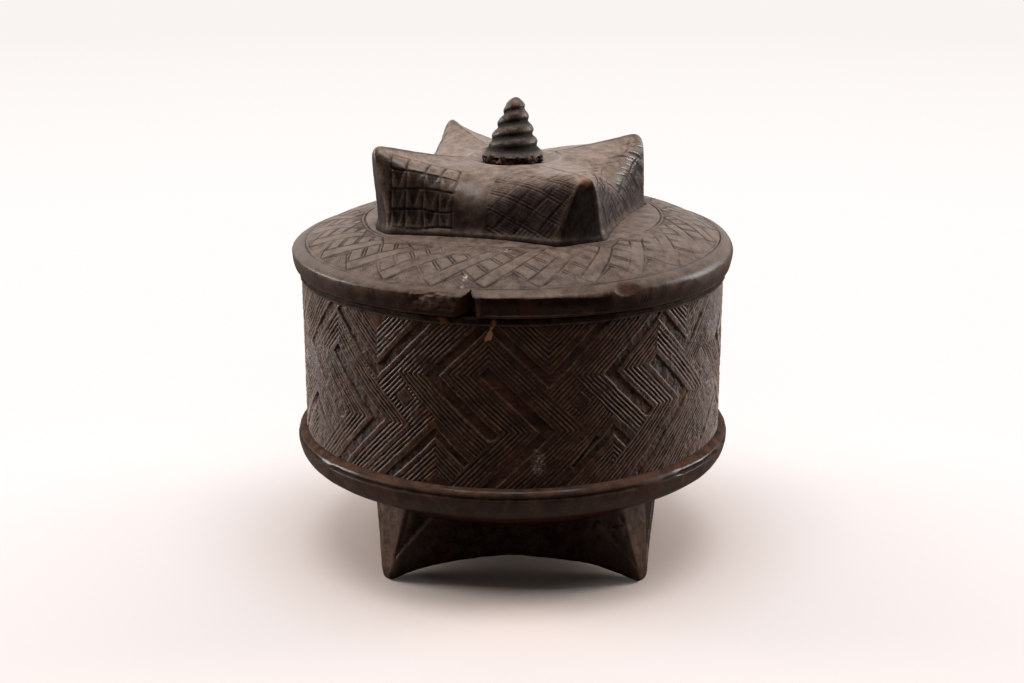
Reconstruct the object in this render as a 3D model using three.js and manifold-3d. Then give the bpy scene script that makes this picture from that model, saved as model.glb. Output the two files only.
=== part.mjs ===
// A carved wooden storage vessel with a lift-off lid.
// The vessel is one log: four pointed feet, a rolled bead, a round carved wall and a plain lip.
// The lid is a second log: a rolled rim, a low dome, a locating collar below and a four-horned boss on top.
// A spiral-cut finial stands on a bed of pitch at the middle of the boss, with its tenon in a socket.
// Millimetres, +Z up, origin on the floor under the vessel's axis, the front facing -Y.

import * as THREE from "three";
import { mergeVertices } from "three/addons/utils/BufferGeometryUtils.js";
import Module from "manifold-3d";

const wasm = await Module();
wasm.setup();

// Fineness of the round and formed surfaces, as counts
const roundSegments = 72;
const curveSegments = 5;
const cushionRings = 12;
const sideColumns = 8;
const facetColumns = 2;
const finialSegments = 28;
const turnRings = 6;

// Sizes shared by several pieces
const seatGap = 0.3; // between two faces that rest on each other
const slideClearance = 0.6; // between the lid's collar and the vessel's wall
const tenonClearance = 0.3; // round the finial's tenon
const overrun = 6; // how far a cutter passes the face that it opens
const weldDistance = 0.001;

// Vessel: wall, lip and bead
const wallRadius = 134.5;
const wallThickness = 12.5;
const carvedHeight = 98.2;
const lipHeight = 4.3;
const lipProud = 0.9;
const beadProud = 5.7;
const beadUpperHeight = 6.4;
const beadLowerHeight = 14.8;
const beadUndercut = 12;
const floorThickness = 12; // from the root of the base up to the floor of the cavity

// Vessel: the deep strips of the carved wall. A motif repeats round it, and its lines rise or fall at 45
// degrees. A place in a motif is its distance across the rising lines and across the falling ones, both
// from the motif's origin on the lip, as shares of the length of a repeat.
const stripDepth = 1.2;
const stripMargin = 0.3; // left plain next to the lip and the bead
const stripStep = 12; // between the cross-lines that bend a cutter round the wall
const carvingShiftShare = -0.142; // from the front to the origin of the first motif
// Each strip turns once. Its rising leg and its falling leg run from the outer corner to the ends named.
const stripShares = [
  { corner: [-0.029, -0.457], width: [0.052, 0.062], risingTo: "lip", fallingTo: 0.492 },
  { corner: [0.693, -0.159], width: [-0.055, -0.068], risingTo: "foot", fallingTo: 0.178 },
  { corner: [0.219, -0.622], width: [0.041, -0.041], risingTo: "foot", fallingTo: 0.492 },
  { corner: [0.491, -0.011], width: [-0.05, 0.05], risingTo: "lip", fallingTo: "lip" },
];
// The motifs round the wall were cut by eye too: past the knee each is nearer by its own share
const kneeShare = 0.45;
const nearerShares = [0, 0.109, 0.028, 0.057, 0, 0.076, 0.019, 0];

// Vessel: the four-footed base, a cushion turned upside down
const footHeight = 62;
const underbodyDrop = 19; // how far the rounded bottom hangs below the bead
const underbodyRadius = 97;
const baseCrownHeight = 50.5; // root to the middle of the underside
const baseSideRadius = 98;
const baseSideDraw = 9; // how far the side draws in from root to underside
const footRootRadius = 103;
const footTipRadius = 112;
const footRise = 65.3; // root to a foot's tip, before the tip is rounded and worn flat on the floor
const footFacetHalfWidth = 12;
const footTipHalfWidth = 2.5;

// Lid: rim, dome, collar and hollow
const rimProud = 5.5; // how far the rim stands out from the carved wall
const rimHeight = 18.5;
const rimWidestHeight = 12; // above the rim's lower edge
const rimSeatProud = 0.7; // the rim's lower edge beyond the carved wall
const rimRoll = 8; // from the widest point in to the incised crease
const domeRise = 12.5; // from the crease to the edge of the round plateau under the boss
const domeCrown = 2.5;
const plateauRadius = 94;
const plateauRise = 2.5;
const domeLift = 3; // how far the crease stands higher on the side to which the dome was cut out of true
const domeLiftTurn = THREE.MathUtils.degToRad(55);
const collarDepth = 8;
const collarThickness = 11.4;
const hollowHeight = 40;

// Lid: the four-horned boss
const bossRootHeight = 33.5; // above the vessel's lip
const bossTurn = THREE.MathUtils.degToRad(-63); // the direction of the first horn
const bossCrownHeight = 35.5;
const bossSideRadius = 66.5;
const bossSideDraw = 4;
const hornTipHalfWidth = 1.2;
const bossSkirt = 8; // how far the boss is let into the dome
const hornRise = 50;
const hornRootRadius = 88;
const hornTipRadius = 96;
const hornFacetHalfWidth = 13;
// The horns were cut by eye, so each has its own shares of the four sizes above, and the side after it
// has its own share of the side radius
const hornShares = [
  { rise: 0.784, rootRadius: 1, tipRadius: 1.005, facetHalfWidth: 1.04, sideRadius: 1.068 },
  { rise: 0.9, rootRadius: 1.023, tipRadius: 0.982, facetHalfWidth: 1, sideRadius: 1.023 },
  { rise: 0.972, rootRadius: 0.965, tipRadius: 0.984, facetHalfWidth: 0.8, sideRadius: 1.008 },
  { rise: 1.026, rootRadius: 1.015, tipRadius: 0.995, facetHalfWidth: 0.5, sideRadius: 1.06 },
];

// Lid: the broken notch in the front of the rim
const notchTurn = THREE.MathUtils.degToRad(-100.2);
const notchDepth = 13.5;
const notchTopDepth = 15; // at its peak
const notchRise = 1; // of its peak above the crease
const notchLeftWidth = 19; // from its middle to its left side, past the rim
const notchRightWidth = 8.5;

// Finial and its bed
const finialSeatDepth = 3.3; // the floor of the dish below the crown of the boss
const seatRadius = 19.3; // of the flat floor of the dish
const dishWidth = 8; // of the sloping side of the dish
const finialRadius = 18.7;
const finialHeight = 35.4;
const finialTopRadius = 5.9;
const finialCapHeight = 4.4;
const finialLean = 2.1; // how far its tip stands to the right of the axis
const footRingHeight = 4.1; // the level ring under the spiral
const spiralPitch = 8.2;
const spiralDepth = 1.6;
const spiralTilt = 2.5; // how far the coils stand higher at the front
const bedThickness = 4.6;
const bedRadius = 17.6;
const tenonRadius = 5.5;
const tenonLength = 18;
const socketSpare = 2; // left below the end of the tenon

// Heights of the levels, from the floor up
const beadWidestLevel = footHeight + beadLowerHeight;
const wallFootLevel = beadWidestLevel + beadUpperHeight;
const lipLevel = wallFootLevel + carvedHeight;
const mouthLevel = lipLevel + lipHeight;
const cavityFloorLevel = footHeight + floorThickness;
const seatLevel = mouthLevel + seatGap;
const rimWidestLevel = seatLevel + rimWidestHeight;
const creaseLevel = seatLevel + rimHeight;
const bossRootLevel = mouthLevel + bossRootHeight;
const bossCrownLevel = bossRootLevel + bossCrownHeight;
const bedSeatLevel = bossCrownLevel - finialSeatDepth;
const finialLevel = bedSeatLevel + bedThickness + 2 * seatGap;

const cavityRadius = wallRadius - wallThickness;
const collarRadius = cavityRadius - slideClearance;
const hollowRadius = collarRadius - collarThickness;
const collarLevel = seatLevel - collarDepth;
const rimRadius = wallRadius + rimProud;
const rimSeatRadius = wallRadius + rimSeatProud;
const creaseRadius = rimRadius - rimRoll;

const quarterTurn = Math.PI / 2;

// Points on a quarter of an ellipse about (x, y), from angle to angle, both ends included
function arc(x, y, halfWidth, halfHeight, from, to) {
  return Array.from({ length: curveSegments + 1 }, (_, step) => {
    const angle = THREE.MathUtils.lerp(from, to, step / curveSegments);
    return new THREE.Vector2(x + halfWidth * Math.cos(angle), y + halfHeight * Math.sin(angle));
  });
}

// A turned body, its profile running upwards along the outside and starting and ending on the axis
function turned(profile, segments) {
  return new THREE.LatheGeometry(profile, segments).rotateX(quarterTurn);
}

function toSolid(geometry) {
  const bare = geometry.clone();
  bare.deleteAttribute("normal");
  bare.deleteAttribute("uv");
  const welded = mergeVertices(bare, weldDistance);
  return new wasm.Manifold(new wasm.Mesh({
    numProp: 3,
    vertProperties: new Float32Array(welded.attributes.position.array),
    triVerts: new Uint32Array(welded.index.array),
  }));
}

function toGeometry(solid) {
  const mesh = solid.getMesh();
  const geometry = new THREE.BufferGeometry();
  geometry.setAttribute("position", new THREE.BufferAttribute(mesh.vertProperties, mesh.numProp));
  geometry.setIndex(new THREE.BufferAttribute(mesh.triVerts, 1));
  return geometry;
}

// A turned plug that cuts a round recess
function plug(radius, bottom, top) {
  return toSolid(turned([
    new THREE.Vector2(0, bottom),
    new THREE.Vector2(radius, bottom),
    new THREE.Vector2(radius, top),
    new THREE.Vector2(0, top),
  ], roundSegments));
}

// A point given along and across a direction in the floor plane
function inDirection(along, across, angle) {
  return new THREE.Vector2(along, across).rotateAround(new THREE.Vector2(), angle);
}

// The cushion form of the boss and, upside down, of the base. Its plan is a square of four sides that
// draw in at their middles and four corner facets. The facets narrow from the root to a pointed tip.
// Along each column, with t from 0 at the crown to a quarter turn at the root, the distance from the
// axis is sin(t) to the power 2/n and the height cos(t) to the power 2/n. The power n grows from a soft
// shoulder at mid side to a sharp one on the diagonal, and the height rises from the crown to each tip,
// which is highest on the diagonal.
function cushion({ corners, sideDraw, crownHeight, tipHalfWidth, skirt, form }) {
  const cornerEdge = (index, level, hand) => {
    const corner = corners[index];
    const halfWidth = corner.facetHalfWidth * (1 - level) ** form.archPower + tipHalfWidth;
    const radius = THREE.MathUtils.lerp(corner.rootRadius, corner.tipRadius, level);
    return inDirection(radius, hand * halfWidth, index * quarterTurn);
  };
  const columns = [];
  for (let index = 0; index < corners.length; index += 1) {
    const next = (index + 1) % corners.length;
    const middle = index * quarterTurn + quarterTurn / 2;
    for (let step = 0; step <= sideColumns; step += 1) {
      const along = (2 * step) / sideColumns - 1;
      columns.push({
        cornerness: Math.abs(along),
        rise: form.edgeShare * (along < 0 ? corners[index].rise : corners[next].rise),
        outline: (level) => {
          const from = cornerEdge(index, level, 1).rotateAround(new THREE.Vector2(), -middle);
          const to = cornerEdge(next, level, -1).rotateAround(new THREE.Vector2(), -middle);
          const straight = from.lerp(to, step / sideColumns);
          const drawn = corners[index].sideRadius - sideDraw * level;
          straight.x = THREE.MathUtils.lerp(drawn, straight.x, along ** 2);
          return straight.rotateAround(new THREE.Vector2(), middle);
        },
      });
    }
    for (let step = 1; step < facetColumns; step += 1) {
      const across = (2 * step) / facetColumns - 1;
      columns.push({
        cornerness: 1,
        rise: corners[next].rise * THREE.MathUtils.lerp(1, form.edgeShare, across ** 2),
        outline: (level) => cornerEdge(next, level, -1).lerp(cornerEdge(next, level, 1), step / facetColumns),
      });
    }
  }

  const positions = [0, 0, crownHeight];
  for (let ring = 1; ring <= cushionRings; ring += 1) {
    const turn = (ring / cushionRings) * quarterTurn;
    for (const column of columns) {
      const sharpness = column.cornerness ** form.sharpnessPower;
      const power = THREE.MathUtils.lerp(form.sidePower, form.cornerPower, sharpness);
      const out = Math.sin(turn) ** (2 / power);
      const level = ring === cushionRings ? 0 : Math.cos(turn) ** (2 / power);
      const lift = (column.rise - crownHeight) * column.cornerness ** form.risePower * out ** form.ridgePower;
      const point = column.outline(level).multiplyScalar(out);
      positions.push(point.x, point.y, (crownHeight + lift) * level);
    }
  }
  for (const column of columns) {
    const point = column.outline(0);
    positions.push(point.x, point.y, -skirt);
  }
  positions.push(0, 0, -skirt);

  const count = columns.length;
  const rings = cushionRings + 1;
  const last = 1 + rings * count;
  const faces = [];
  for (let column = 0; column < count; column += 1) {
    const next = (column + 1) % count;
    faces.push(0, 1 + column, 1 + next);
    for (let ring = 0; ring < rings - 1; ring += 1) {
      const upper = 1 + ring * count;
      const lower = upper + count;
      faces.push(upper + column, lower + column, lower + next);
      faces.push(upper + column, lower + next, upper + next);
    }
    const bottom = 1 + (rings - 1) * count;
    faces.push(bottom + column, last, bottom + next);
  }
  const geometry = new THREE.BufferGeometry();
  geometry.setAttribute("position", new THREE.Float32BufferAttribute(positions, 3));
  geometry.setIndex(faces);
  return geometry;
}

// The powers that shape each cushion, and the height of a facet's edges as a share of its middle's
const bossForm = {
  archPower: 0.45, sharpnessPower: 2, sidePower: 3.4, cornerPower: 26, risePower: 3, ridgePower: 1.8,
  edgeShare: 0.96,
};
const baseForm = {
  archPower: 0.8, sharpnessPower: 2, sidePower: 7, cornerPower: 26, risePower: 2.2, ridgePower: 2,
  edgeShare: 1,
};

// A box that lies across the rising and the falling lines, bent round the wall. Each range runs from a
// motif's origin on the lip.
function bentBox(rising, falling) {
  const size = [rising, falling].map(([from, to]) => Math.abs(to - from));
  const counts = size.map((length) => Math.ceil(length / stripStep));
  const geometry = new THREE.BoxGeometry(...size, 2 * overrun, ...counts, 1);
  geometry.translate((rising[0] + rising[1]) / 2, (falling[0] + falling[1]) / 2, wallRadius);
  const place = geometry.attributes.position;
  for (let index = 0; index < place.count; index += 1) {
    const along = (place.getX(index) + place.getY(index)) / Math.SQRT2;
    const up = (place.getY(index) - place.getX(index)) / Math.SQRT2;
    const point = inDirection(place.getZ(index), 0, along / wallRadius - quarterTurn);
    place.setXYZ(index, point.x, point.y, lipLevel + up);
  }
  return toSolid(geometry);
}

// The deep strips of one motif, with the part past the knee brought nearer
function makeMotif(repeatLength, nearerShare) {
  const pastLip = -overrun * Math.SQRT2;
  const pastFoot = (carvedHeight + overrun) * Math.SQRT2;
  const nearer = (share) => repeatLength * (share > kneeShare ? share - nearerShare : share);
  return wasm.Manifold.union(stripShares.flatMap(({ corner, width, risingTo, fallingTo }) => {
    const rising = nearer(corner[0]);
    const falling = repeatLength * corner[1];
    const risingEnd = rising - (risingTo === "lip" ? pastLip : pastFoot);
    const fallingEnd = fallingTo === "lip" ? falling + pastLip : nearer(fallingTo);
    return [
      bentBox([rising, rising + repeatLength * width[0]], [falling, risingEnd]),
      bentBox([rising, fallingEnd], [falling, falling + repeatLength * width[1]]),
    ];
  }));
}

// All deep strips, trimmed to a ring between the wall's foot and the lip
function makeStrips() {
  const repeatLength = (2 * Math.PI * wallRadius) / nearerShares.length;
  const motifs = nearerShares.map((nearerShare, index) => {
    const degrees = (360 * (index + carvingShiftShare)) / nearerShares.length;
    return makeMotif(repeatLength, nearerShare).rotate([0, 0, degrees]);
  });
  const ring = toSolid(turned([
    new THREE.Vector2(0, wallFootLevel + stripMargin),
    new THREE.Vector2(wallRadius + overrun, wallFootLevel + stripMargin),
    new THREE.Vector2(wallRadius + overrun, lipLevel - stripMargin),
    new THREE.Vector2(0, lipLevel - stripMargin),
  ], roundSegments));
  const core = plug(wallRadius - stripDepth, wallFootLevel - overrun, lipLevel + overrun);
  return wasm.Manifold.union(motifs).intersect(ring).subtract(core);
}

// The vessel: feet, rounded bottom, bead, wall and lip in one piece, hollowed from above
function makeVessel() {
  const beadInner = wallRadius + beadProud - beadUndercut;
  const shell = toSolid(turned([
    new THREE.Vector2(0, footHeight - underbodyDrop),
    new THREE.Vector2(underbodyRadius, footHeight - underbodyDrop),
    ...arc(beadInner, beadWidestLevel, beadUndercut, beadLowerHeight, -quarterTurn, 0),
    ...arc(wallRadius, beadWidestLevel, beadProud, beadUpperHeight, 0, quarterTurn).slice(1),
    new THREE.Vector2(wallRadius, lipLevel),
    new THREE.Vector2(wallRadius + lipProud, lipLevel),
    new THREE.Vector2(wallRadius + lipProud, mouthLevel),
    new THREE.Vector2(0, mouthLevel),
  ], roundSegments));
  const foot = {
    rise: footRise,
    rootRadius: footRootRadius,
    tipRadius: footTipRadius,
    facetHalfWidth: footFacetHalfWidth,
    sideRadius: baseSideRadius,
  };
  const base = toSolid(cushion({
    corners: [foot, foot, foot, foot],
    sideDraw: baseSideDraw,
    crownHeight: baseCrownHeight,
    tipHalfWidth: footTipHalfWidth,
    skirt: floorThickness / 2,
    form: baseForm,
  }).rotateZ(quarterTurn / 2).rotateX(2 * quarterTurn).translate(0, 0, footHeight));
  const belowFloor = plug(footTipRadius + overrun, -footHeight, 0);
  const cavity = plug(cavityRadius, cavityFloorLevel, mouthLevel + overrun);
  return toGeometry(shell.add(base).subtract(belowFloor).subtract(cavity).subtract(makeStrips()));
}

// The broken notch, a wedge that opens downwards and outwards and dies out just inside the crease
function makeNotch() {
  const outside = rimRadius + overrun;
  const lowRoot = inDirection(rimRadius - notchDepth, 0, notchTurn);
  const lowRight = inDirection(outside, notchRightWidth, notchTurn);
  const lowLeft = inDirection(outside, -notchLeftWidth, notchTurn);
  const highRoot = inDirection(rimRadius - notchTopDepth, 0, notchTurn);
  const highOuter = inDirection(outside, 0, notchTurn);
  const peakLevel = creaseLevel + notchRise;
  const geometry = new THREE.BufferGeometry();
  geometry.setAttribute("position", new THREE.Float32BufferAttribute([
    lowRoot.x, lowRoot.y, collarLevel,
    lowRight.x, lowRight.y, collarLevel,
    lowLeft.x, lowLeft.y, collarLevel,
    highRoot.x, highRoot.y, peakLevel,
    highOuter.x, highOuter.y, peakLevel,
  ], 3));
  geometry.setIndex([0, 1, 2, 0, 3, 1, 1, 3, 4, 1, 4, 2, 2, 4, 3, 2, 3, 0]);
  return toSolid(geometry);
}

// Raises a turned lid above the rim's widest level, the more the nearer to the side that stands high
function cutOutOfTrue(geometry) {
  const place = geometry.attributes.position;
  const rollHeight = creaseLevel - rimWidestLevel;
  for (let index = 0; index < place.count; index += 1) {
    const point = inDirection(place.getX(index), place.getY(index), -domeLiftTurn);
    const share = THREE.MathUtils.clamp((place.getZ(index) - rimWidestLevel) / rollHeight, 0, 1);
    place.setZ(index, place.getZ(index) + (domeLift * share * point.x) / creaseRadius);
  }
  return geometry;
}

// The lid: collar, seat, rolled rim, dome and boss in one piece, hollowed from below
function makeLid() {
  const domeSteps = Array.from({ length: curveSegments }, (_, step) => {
    const share = (step + 1) / curveSegments;
    const radius = THREE.MathUtils.lerp(creaseRadius, plateauRadius, share);
    const bow = domeCrown * Math.sin(share * Math.PI);
    return new THREE.Vector2(radius, creaseLevel + domeRise * share + bow);
  });
  const plateauLevel = creaseLevel + domeRise + plateauRise;
  const disc = toSolid(cutOutOfTrue(turned([
    new THREE.Vector2(0, collarLevel),
    new THREE.Vector2(collarRadius, collarLevel),
    new THREE.Vector2(collarRadius, seatLevel),
    ...arc(rimSeatRadius, rimWidestLevel, rimRadius - rimSeatRadius, rimWidestHeight, -quarterTurn, 0),
    ...arc(creaseRadius, rimWidestLevel, rimRoll, creaseLevel - rimWidestLevel, 0, quarterTurn).slice(1),
    ...domeSteps,
    new THREE.Vector2(bossSideRadius, plateauLevel),
    new THREE.Vector2(0, plateauLevel),
  ], roundSegments)));
  const hollow = toSolid(turned([
    new THREE.Vector2(0, collarLevel - overrun),
    new THREE.Vector2(hollowRadius, collarLevel - overrun),
    ...arc(0, collarLevel, hollowRadius, hollowHeight, 0, quarterTurn),
  ], roundSegments));
  const horns = hornShares.map((shares) => ({
    rise: hornRise * shares.rise,
    rootRadius: hornRootRadius * shares.rootRadius,
    tipRadius: hornTipRadius * shares.tipRadius,
    facetHalfWidth: hornFacetHalfWidth * shares.facetHalfWidth,
    sideRadius: bossSideRadius * shares.sideRadius,
  }));
  const boss = toSolid(cushion({
    corners: horns,
    sideDraw: bossSideDraw,
    crownHeight: bossCrownHeight,
    tipHalfWidth: hornTipHalfWidth,
    skirt: bossSkirt,
    form: bossForm,
  }).rotateZ(bossTurn).translate(0, 0, bossRootLevel));
  const dishTop = bossCrownLevel + overrun;
  const dishSlope = dishWidth / finialSeatDepth;
  const dish = toSolid(turned([
    new THREE.Vector2(0, bedSeatLevel),
    new THREE.Vector2(seatRadius, bedSeatLevel),
    new THREE.Vector2(seatRadius + dishSlope * (dishTop - bedSeatLevel), dishTop),
    new THREE.Vector2(0, dishTop),
  ], roundSegments));
  const socketFloor = finialLevel - tenonLength - socketSpare;
  const socket = plug(tenonRadius + tenonClearance, socketFloor, bossCrownLevel + overrun);
  const cuts = wasm.Manifold.union([hollow, dish, socket, makeNotch()]);
  return toGeometry(disc.add(boss).subtract(cuts));
}

// The bed of pitch, a ring on the floor of the dish with the tenon passing through it
function makeBed() {
  const bottom = bedSeatLevel + seatGap;
  const hole = tenonRadius + tenonClearance;
  return turned([
    new THREE.Vector2(hole, bottom),
    new THREE.Vector2(bedRadius, bottom),
    new THREE.Vector2(bedRadius, bottom + bedThickness),
    new THREE.Vector2(hole, bottom + bedThickness),
    new THREE.Vector2(hole, bottom),
  ], finialSegments);
}

// The finial: a cone with a level ring at its foot, one ridge that climbs from it as a right-handed
// spiral, a rounded cap whose radius grows with the root of the depth below the tip, and a tenon below
function makeFinial() {
  const spiralHeight = finialHeight - finialCapHeight;
  const rings = Math.round((spiralHeight / spiralPitch) * turnRings);
  const taper = (finialRadius - finialTopRadius) / spiralHeight;
  const radiusAt = (height, angle) => {
    const aboveRing = height - footRingHeight;
    const phase = (aboveRing + spiralTilt * Math.sin(angle)) / spiralPitch - angle / (2 * Math.PI);
    const ridge = Math.abs(Math.sin(Math.PI * phase));
    const footRing = Math.cos(Math.min(quarterTurn, (quarterTurn * height) / footRingHeight));
    const fromRing = THREE.MathUtils.clamp(aboveRing / footRingHeight, 0, 1);
    const fromCap = Math.min(1, (2 * (spiralHeight - height)) / spiralPitch);
    const wave = THREE.MathUtils.lerp(1, THREE.MathUtils.lerp(footRing, ridge, fromRing), fromCap);
    return finialRadius - taper * height - spiralDepth * (1 - wave);
  };
  const levels = Array.from({ length: rings + 1 }, (_, ring) => ({
    height: (ring / rings) * spiralHeight,
    radius: radiusAt,
  }));
  for (let step = 1; step < curveSegments; step += 1) {
    const share = 1 - step / curveSegments;
    levels.push({
      height: spiralHeight + finialCapHeight * (1 - share ** 2),
      radius: () => finialTopRadius * share,
    });
  }
  const leanAt = (height) => finialLean * Math.max(0, height / finialHeight);
  const tenonLevels = [-tenonLength, 0].map((height) => ({ height, radius: () => tenonRadius }));
  const all = [...tenonLevels, ...levels];
  const positions = [0, 0, -tenonLength];
  for (const { height, radius } of all) {
    for (let step = 0; step < finialSegments; step += 1) {
      const angle = (step / finialSegments) * 2 * Math.PI;
      const point = inDirection(radius(height, angle), 0, angle);
      positions.push(point.x + leanAt(height), point.y, height);
    }
  }
  positions.push(leanAt(finialHeight), 0, finialHeight);
  const top = 1 + all.length * finialSegments;
  const faces = [];
  for (let step = 0; step < finialSegments; step += 1) {
    const next = (step + 1) % finialSegments;
    faces.push(0, 1 + next, 1 + step);
    for (let ring = 0; ring < all.length - 1; ring += 1) {
      const lower = 1 + ring * finialSegments;
      const upper = lower + finialSegments;
      faces.push(lower + step, lower + next, upper + next);
      faces.push(lower + step, upper + next, upper + step);
    }
    const rim = 1 + (all.length - 1) * finialSegments;
    faces.push(rim + step, rim + next, top);
  }
  const geometry = new THREE.BufferGeometry();
  geometry.setAttribute("position", new THREE.Float32BufferAttribute(positions, 3));
  geometry.setIndex(faces);
  return geometry.translate(0, 0, finialLevel);
}

const agedWood = new THREE.MeshStandardMaterial({ color: 0x33251d, roughness: 0.5, metalness: 0 });
const polishedWood = new THREE.MeshStandardMaterial({ color: 0x3a2e28, roughness: 0.42, metalness: 0 });
const blackenedWood = new THREE.MeshStandardMaterial({ color: 0x1e211d, roughness: 0.28, metalness: 0 });
const pitch = new THREE.MeshStandardMaterial({ color: 0x17120f, roughness: 0.8, metalness: 0 });

function named(name, geometry, material) {
  geometry.computeVertexNormals();
  const mesh = new THREE.Mesh(geometry, material);
  mesh.name = name;
  return mesh;
}

const lidGroup = new THREE.Group();
lidGroup.add(
  named("lid", makeLid(), polishedWood),
  named("pitch_bed", makeBed(), pitch),
  named("finial", makeFinial(), blackenedWood),
);

const object = new THREE.Group();
object.add(named("vessel", makeVessel(), agedWood), lidGroup);

export default object;
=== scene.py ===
import math
import bpy
import numpy as np
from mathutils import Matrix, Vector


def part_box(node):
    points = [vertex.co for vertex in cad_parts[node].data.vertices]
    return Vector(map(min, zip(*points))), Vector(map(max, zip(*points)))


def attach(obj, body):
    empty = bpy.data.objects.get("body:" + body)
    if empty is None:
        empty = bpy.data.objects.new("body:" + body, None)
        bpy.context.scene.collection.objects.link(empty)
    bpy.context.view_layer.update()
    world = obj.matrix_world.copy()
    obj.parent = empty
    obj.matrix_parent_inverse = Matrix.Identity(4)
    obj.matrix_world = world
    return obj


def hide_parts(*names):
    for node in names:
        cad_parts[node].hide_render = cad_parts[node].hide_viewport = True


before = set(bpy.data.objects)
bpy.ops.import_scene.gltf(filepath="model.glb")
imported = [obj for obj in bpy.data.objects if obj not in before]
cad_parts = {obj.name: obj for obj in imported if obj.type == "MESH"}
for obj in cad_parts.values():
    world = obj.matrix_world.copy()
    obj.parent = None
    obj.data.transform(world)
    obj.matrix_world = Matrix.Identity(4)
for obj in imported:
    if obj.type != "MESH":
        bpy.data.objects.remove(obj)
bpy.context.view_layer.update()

# Lengths below are in millimetres and become metres where a mesh is made
mm = 0.001
fullTurn = 2 * math.pi
quarterTurn = math.pi / 2
rootTwo = math.sqrt(2)


def nodeBox(node):
    # The low and high corners of a CAD node's box, in millimetres
    return [np.array(corner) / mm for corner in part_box(node)]


vesselHigh = nodeBox("vessel")[1]
lidLow, lidHigh = nodeBox("lid")
bedLow, bedHigh = nodeBox("pitch_bed")
finialLow, finialHigh = nodeBox("finial")

# Levels and radii that the pieces share
vessel = {
    "mouth": vesselHigh[2],
    "lip": vesselHigh[2] - 4.3,
    "wallFoot": 83.2,
    "beadWidest": 76.8,
    "beadRadius": vesselHigh[0],
    "beadUndercut": 12,
    "beadLowerHeight": 14.8,
    "wallRadius": 134.5,
    "lipProud": 0.9,
    "cavityRadius": 122,
    "cavityFloor": 74,
    "cavityFillet": 9,
    "rootLevel": 62,
    "underbodyRadius": 97,
    "underbodyLevel": 43,
}
lid = {
    "collarLevel": lidLow[2],
    "seatLevel": vesselHigh[2] + 0.3,
    "collarRadius": 121.4,
    "hollowRadius": 110,
    "hollowHeight": 40,
    "rimSeatRadius": 135.2,
    "rimRadius": lidHigh[0],
    "rimWidest": vesselHigh[2] + 12.3,
    "rimRoll": 8,
    "creaseLevel": vesselHigh[2] + 18.8,
    "creaseRadius": lidHigh[0] - 8,
    "domeRise": 12.5,
    "domeCrown": 2.5,
    "plateauRadius": 94,
    "plateauRise": 2.5,
    "domeLift": 3,                       # the dome was cut out of true
    "domeLiftTurn": math.radians(55),
    "bossRoot": vesselHigh[2] + 33.5,
    "bossSideRadius": 66.5,
}


# Shared shape helpers

def limit(value, low=0, high=1):
    # The value, or the nearer limit where it lies outside the two
    return np.clip(value, low, high)


def smoothStep(value, width):
    # 0 to 1 as value goes from minus half the width to plus half, with level ends
    share = limit(value / width + 0.5)
    return share * share * (3 - 2 * share)


def between(value, low, high, width, highWidth=None):
    # 1 from low to high, and 0 outside, with a soft step of its own width at each end
    return smoothStep(value - low, width) * smoothStep(high - value, highWidth or width)


def peak(value, centre, reach, top=1):
    # The top at the centre, less 1 for each reach away from it, held between 0 and 1
    return limit(top - np.abs(value - centre) / reach)


def scratch(distance, width, depth):
    # A V-shaped line whose depth dies out with the distance from it
    return -depth * peak(distance, 0, width)


def softNoise(points, size, seed):
    # Random values from -1 to 1 on a cubic lattice of the given cell size, eased between its corners
    table = np.random.default_rng(seed).uniform(-1, 1, (32, 32, 32))
    cell = points / size
    low = np.floor(cell).astype(int)
    ease = cell - low
    ease = ease * ease * (3 - 2 * ease)
    total = np.zeros(points.shape[:-1])
    for corner in np.ndindex(2, 2, 2):
        place = (low + corner) % 32
        weight = np.prod(np.where(np.array(corner) == 1, ease, 1 - ease), axis=-1)
        total += weight * table[place[..., 0], place[..., 1], place[..., 2]]
    return total


def uneven(points, layers):
    # The sum of layers of noise, each given by its height, cell size and seed
    return sum(height * softNoise(points, size, seed) for height, size, seed in layers)


def evenTurns(count):
    # Angles that divide a full turn evenly
    return np.linspace(0, fullTurn, count + 1)[:-1]


def fromFront(turns):
    # Turns about the axis measured from the front, which lies along -Y, up to half a turn either way
    return (turns - 3 * quarterTurn + math.pi) % fullTurn - math.pi


def aroundAxis(radius, turns, level):
    # Points at radius times cosine, radius times sine, and level
    return np.stack(np.broadcast_arrays(radius * np.cos(turns), radius * np.sin(turns), level), -1)


def pushOut(points, distance, radius):
    # Moves points away from the axis by a distance, as a share of the radius that they stand at
    points[..., :2] *= 1 + (distance / radius)[..., None]


def bow(centre, halfWidth, halfHeight, start, end, count=16):
    # Points on part of an ellipse: centre plus halfWidth times cosine, halfHeight times sine
    angle = np.linspace(start, end, count)
    return np.stack([centre[0] + halfWidth * np.cos(angle), centre[1] + halfHeight * np.sin(angle)], -1)


def profileLine(parts, step):
    # One profile through the parts, with points about a step apart along it
    line = np.concatenate([np.atleast_2d(np.array(part, float)) for part in parts])
    run = np.concatenate([[0], np.cumsum(np.hypot(*np.diff(line, axis=0).T))])
    keep = np.concatenate([[True], np.diff(run) > 1e-6])
    line, run = line[keep], run[keep]
    spots = np.unique(np.concatenate([np.linspace(0, run[-1], max(2, int(run[-1] / step))), run]))
    return np.stack([np.interp(spots, run, line[:, 0]), np.interp(spots, run, line[:, 1])], -1)


def surfaceNormals(points):
    # Cross product of the steps down and across a grid that runs on round, outwards where down leads
    # away from the top and across runs counterclockwise
    across = np.roll(points, -1, 1) - np.roll(points, 1, 1)
    normal = np.cross(np.gradient(points, axis=0), across)
    return normal / np.maximum(np.linalg.norm(normal, axis=-1, keepdims=True), 1e-9)


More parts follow.
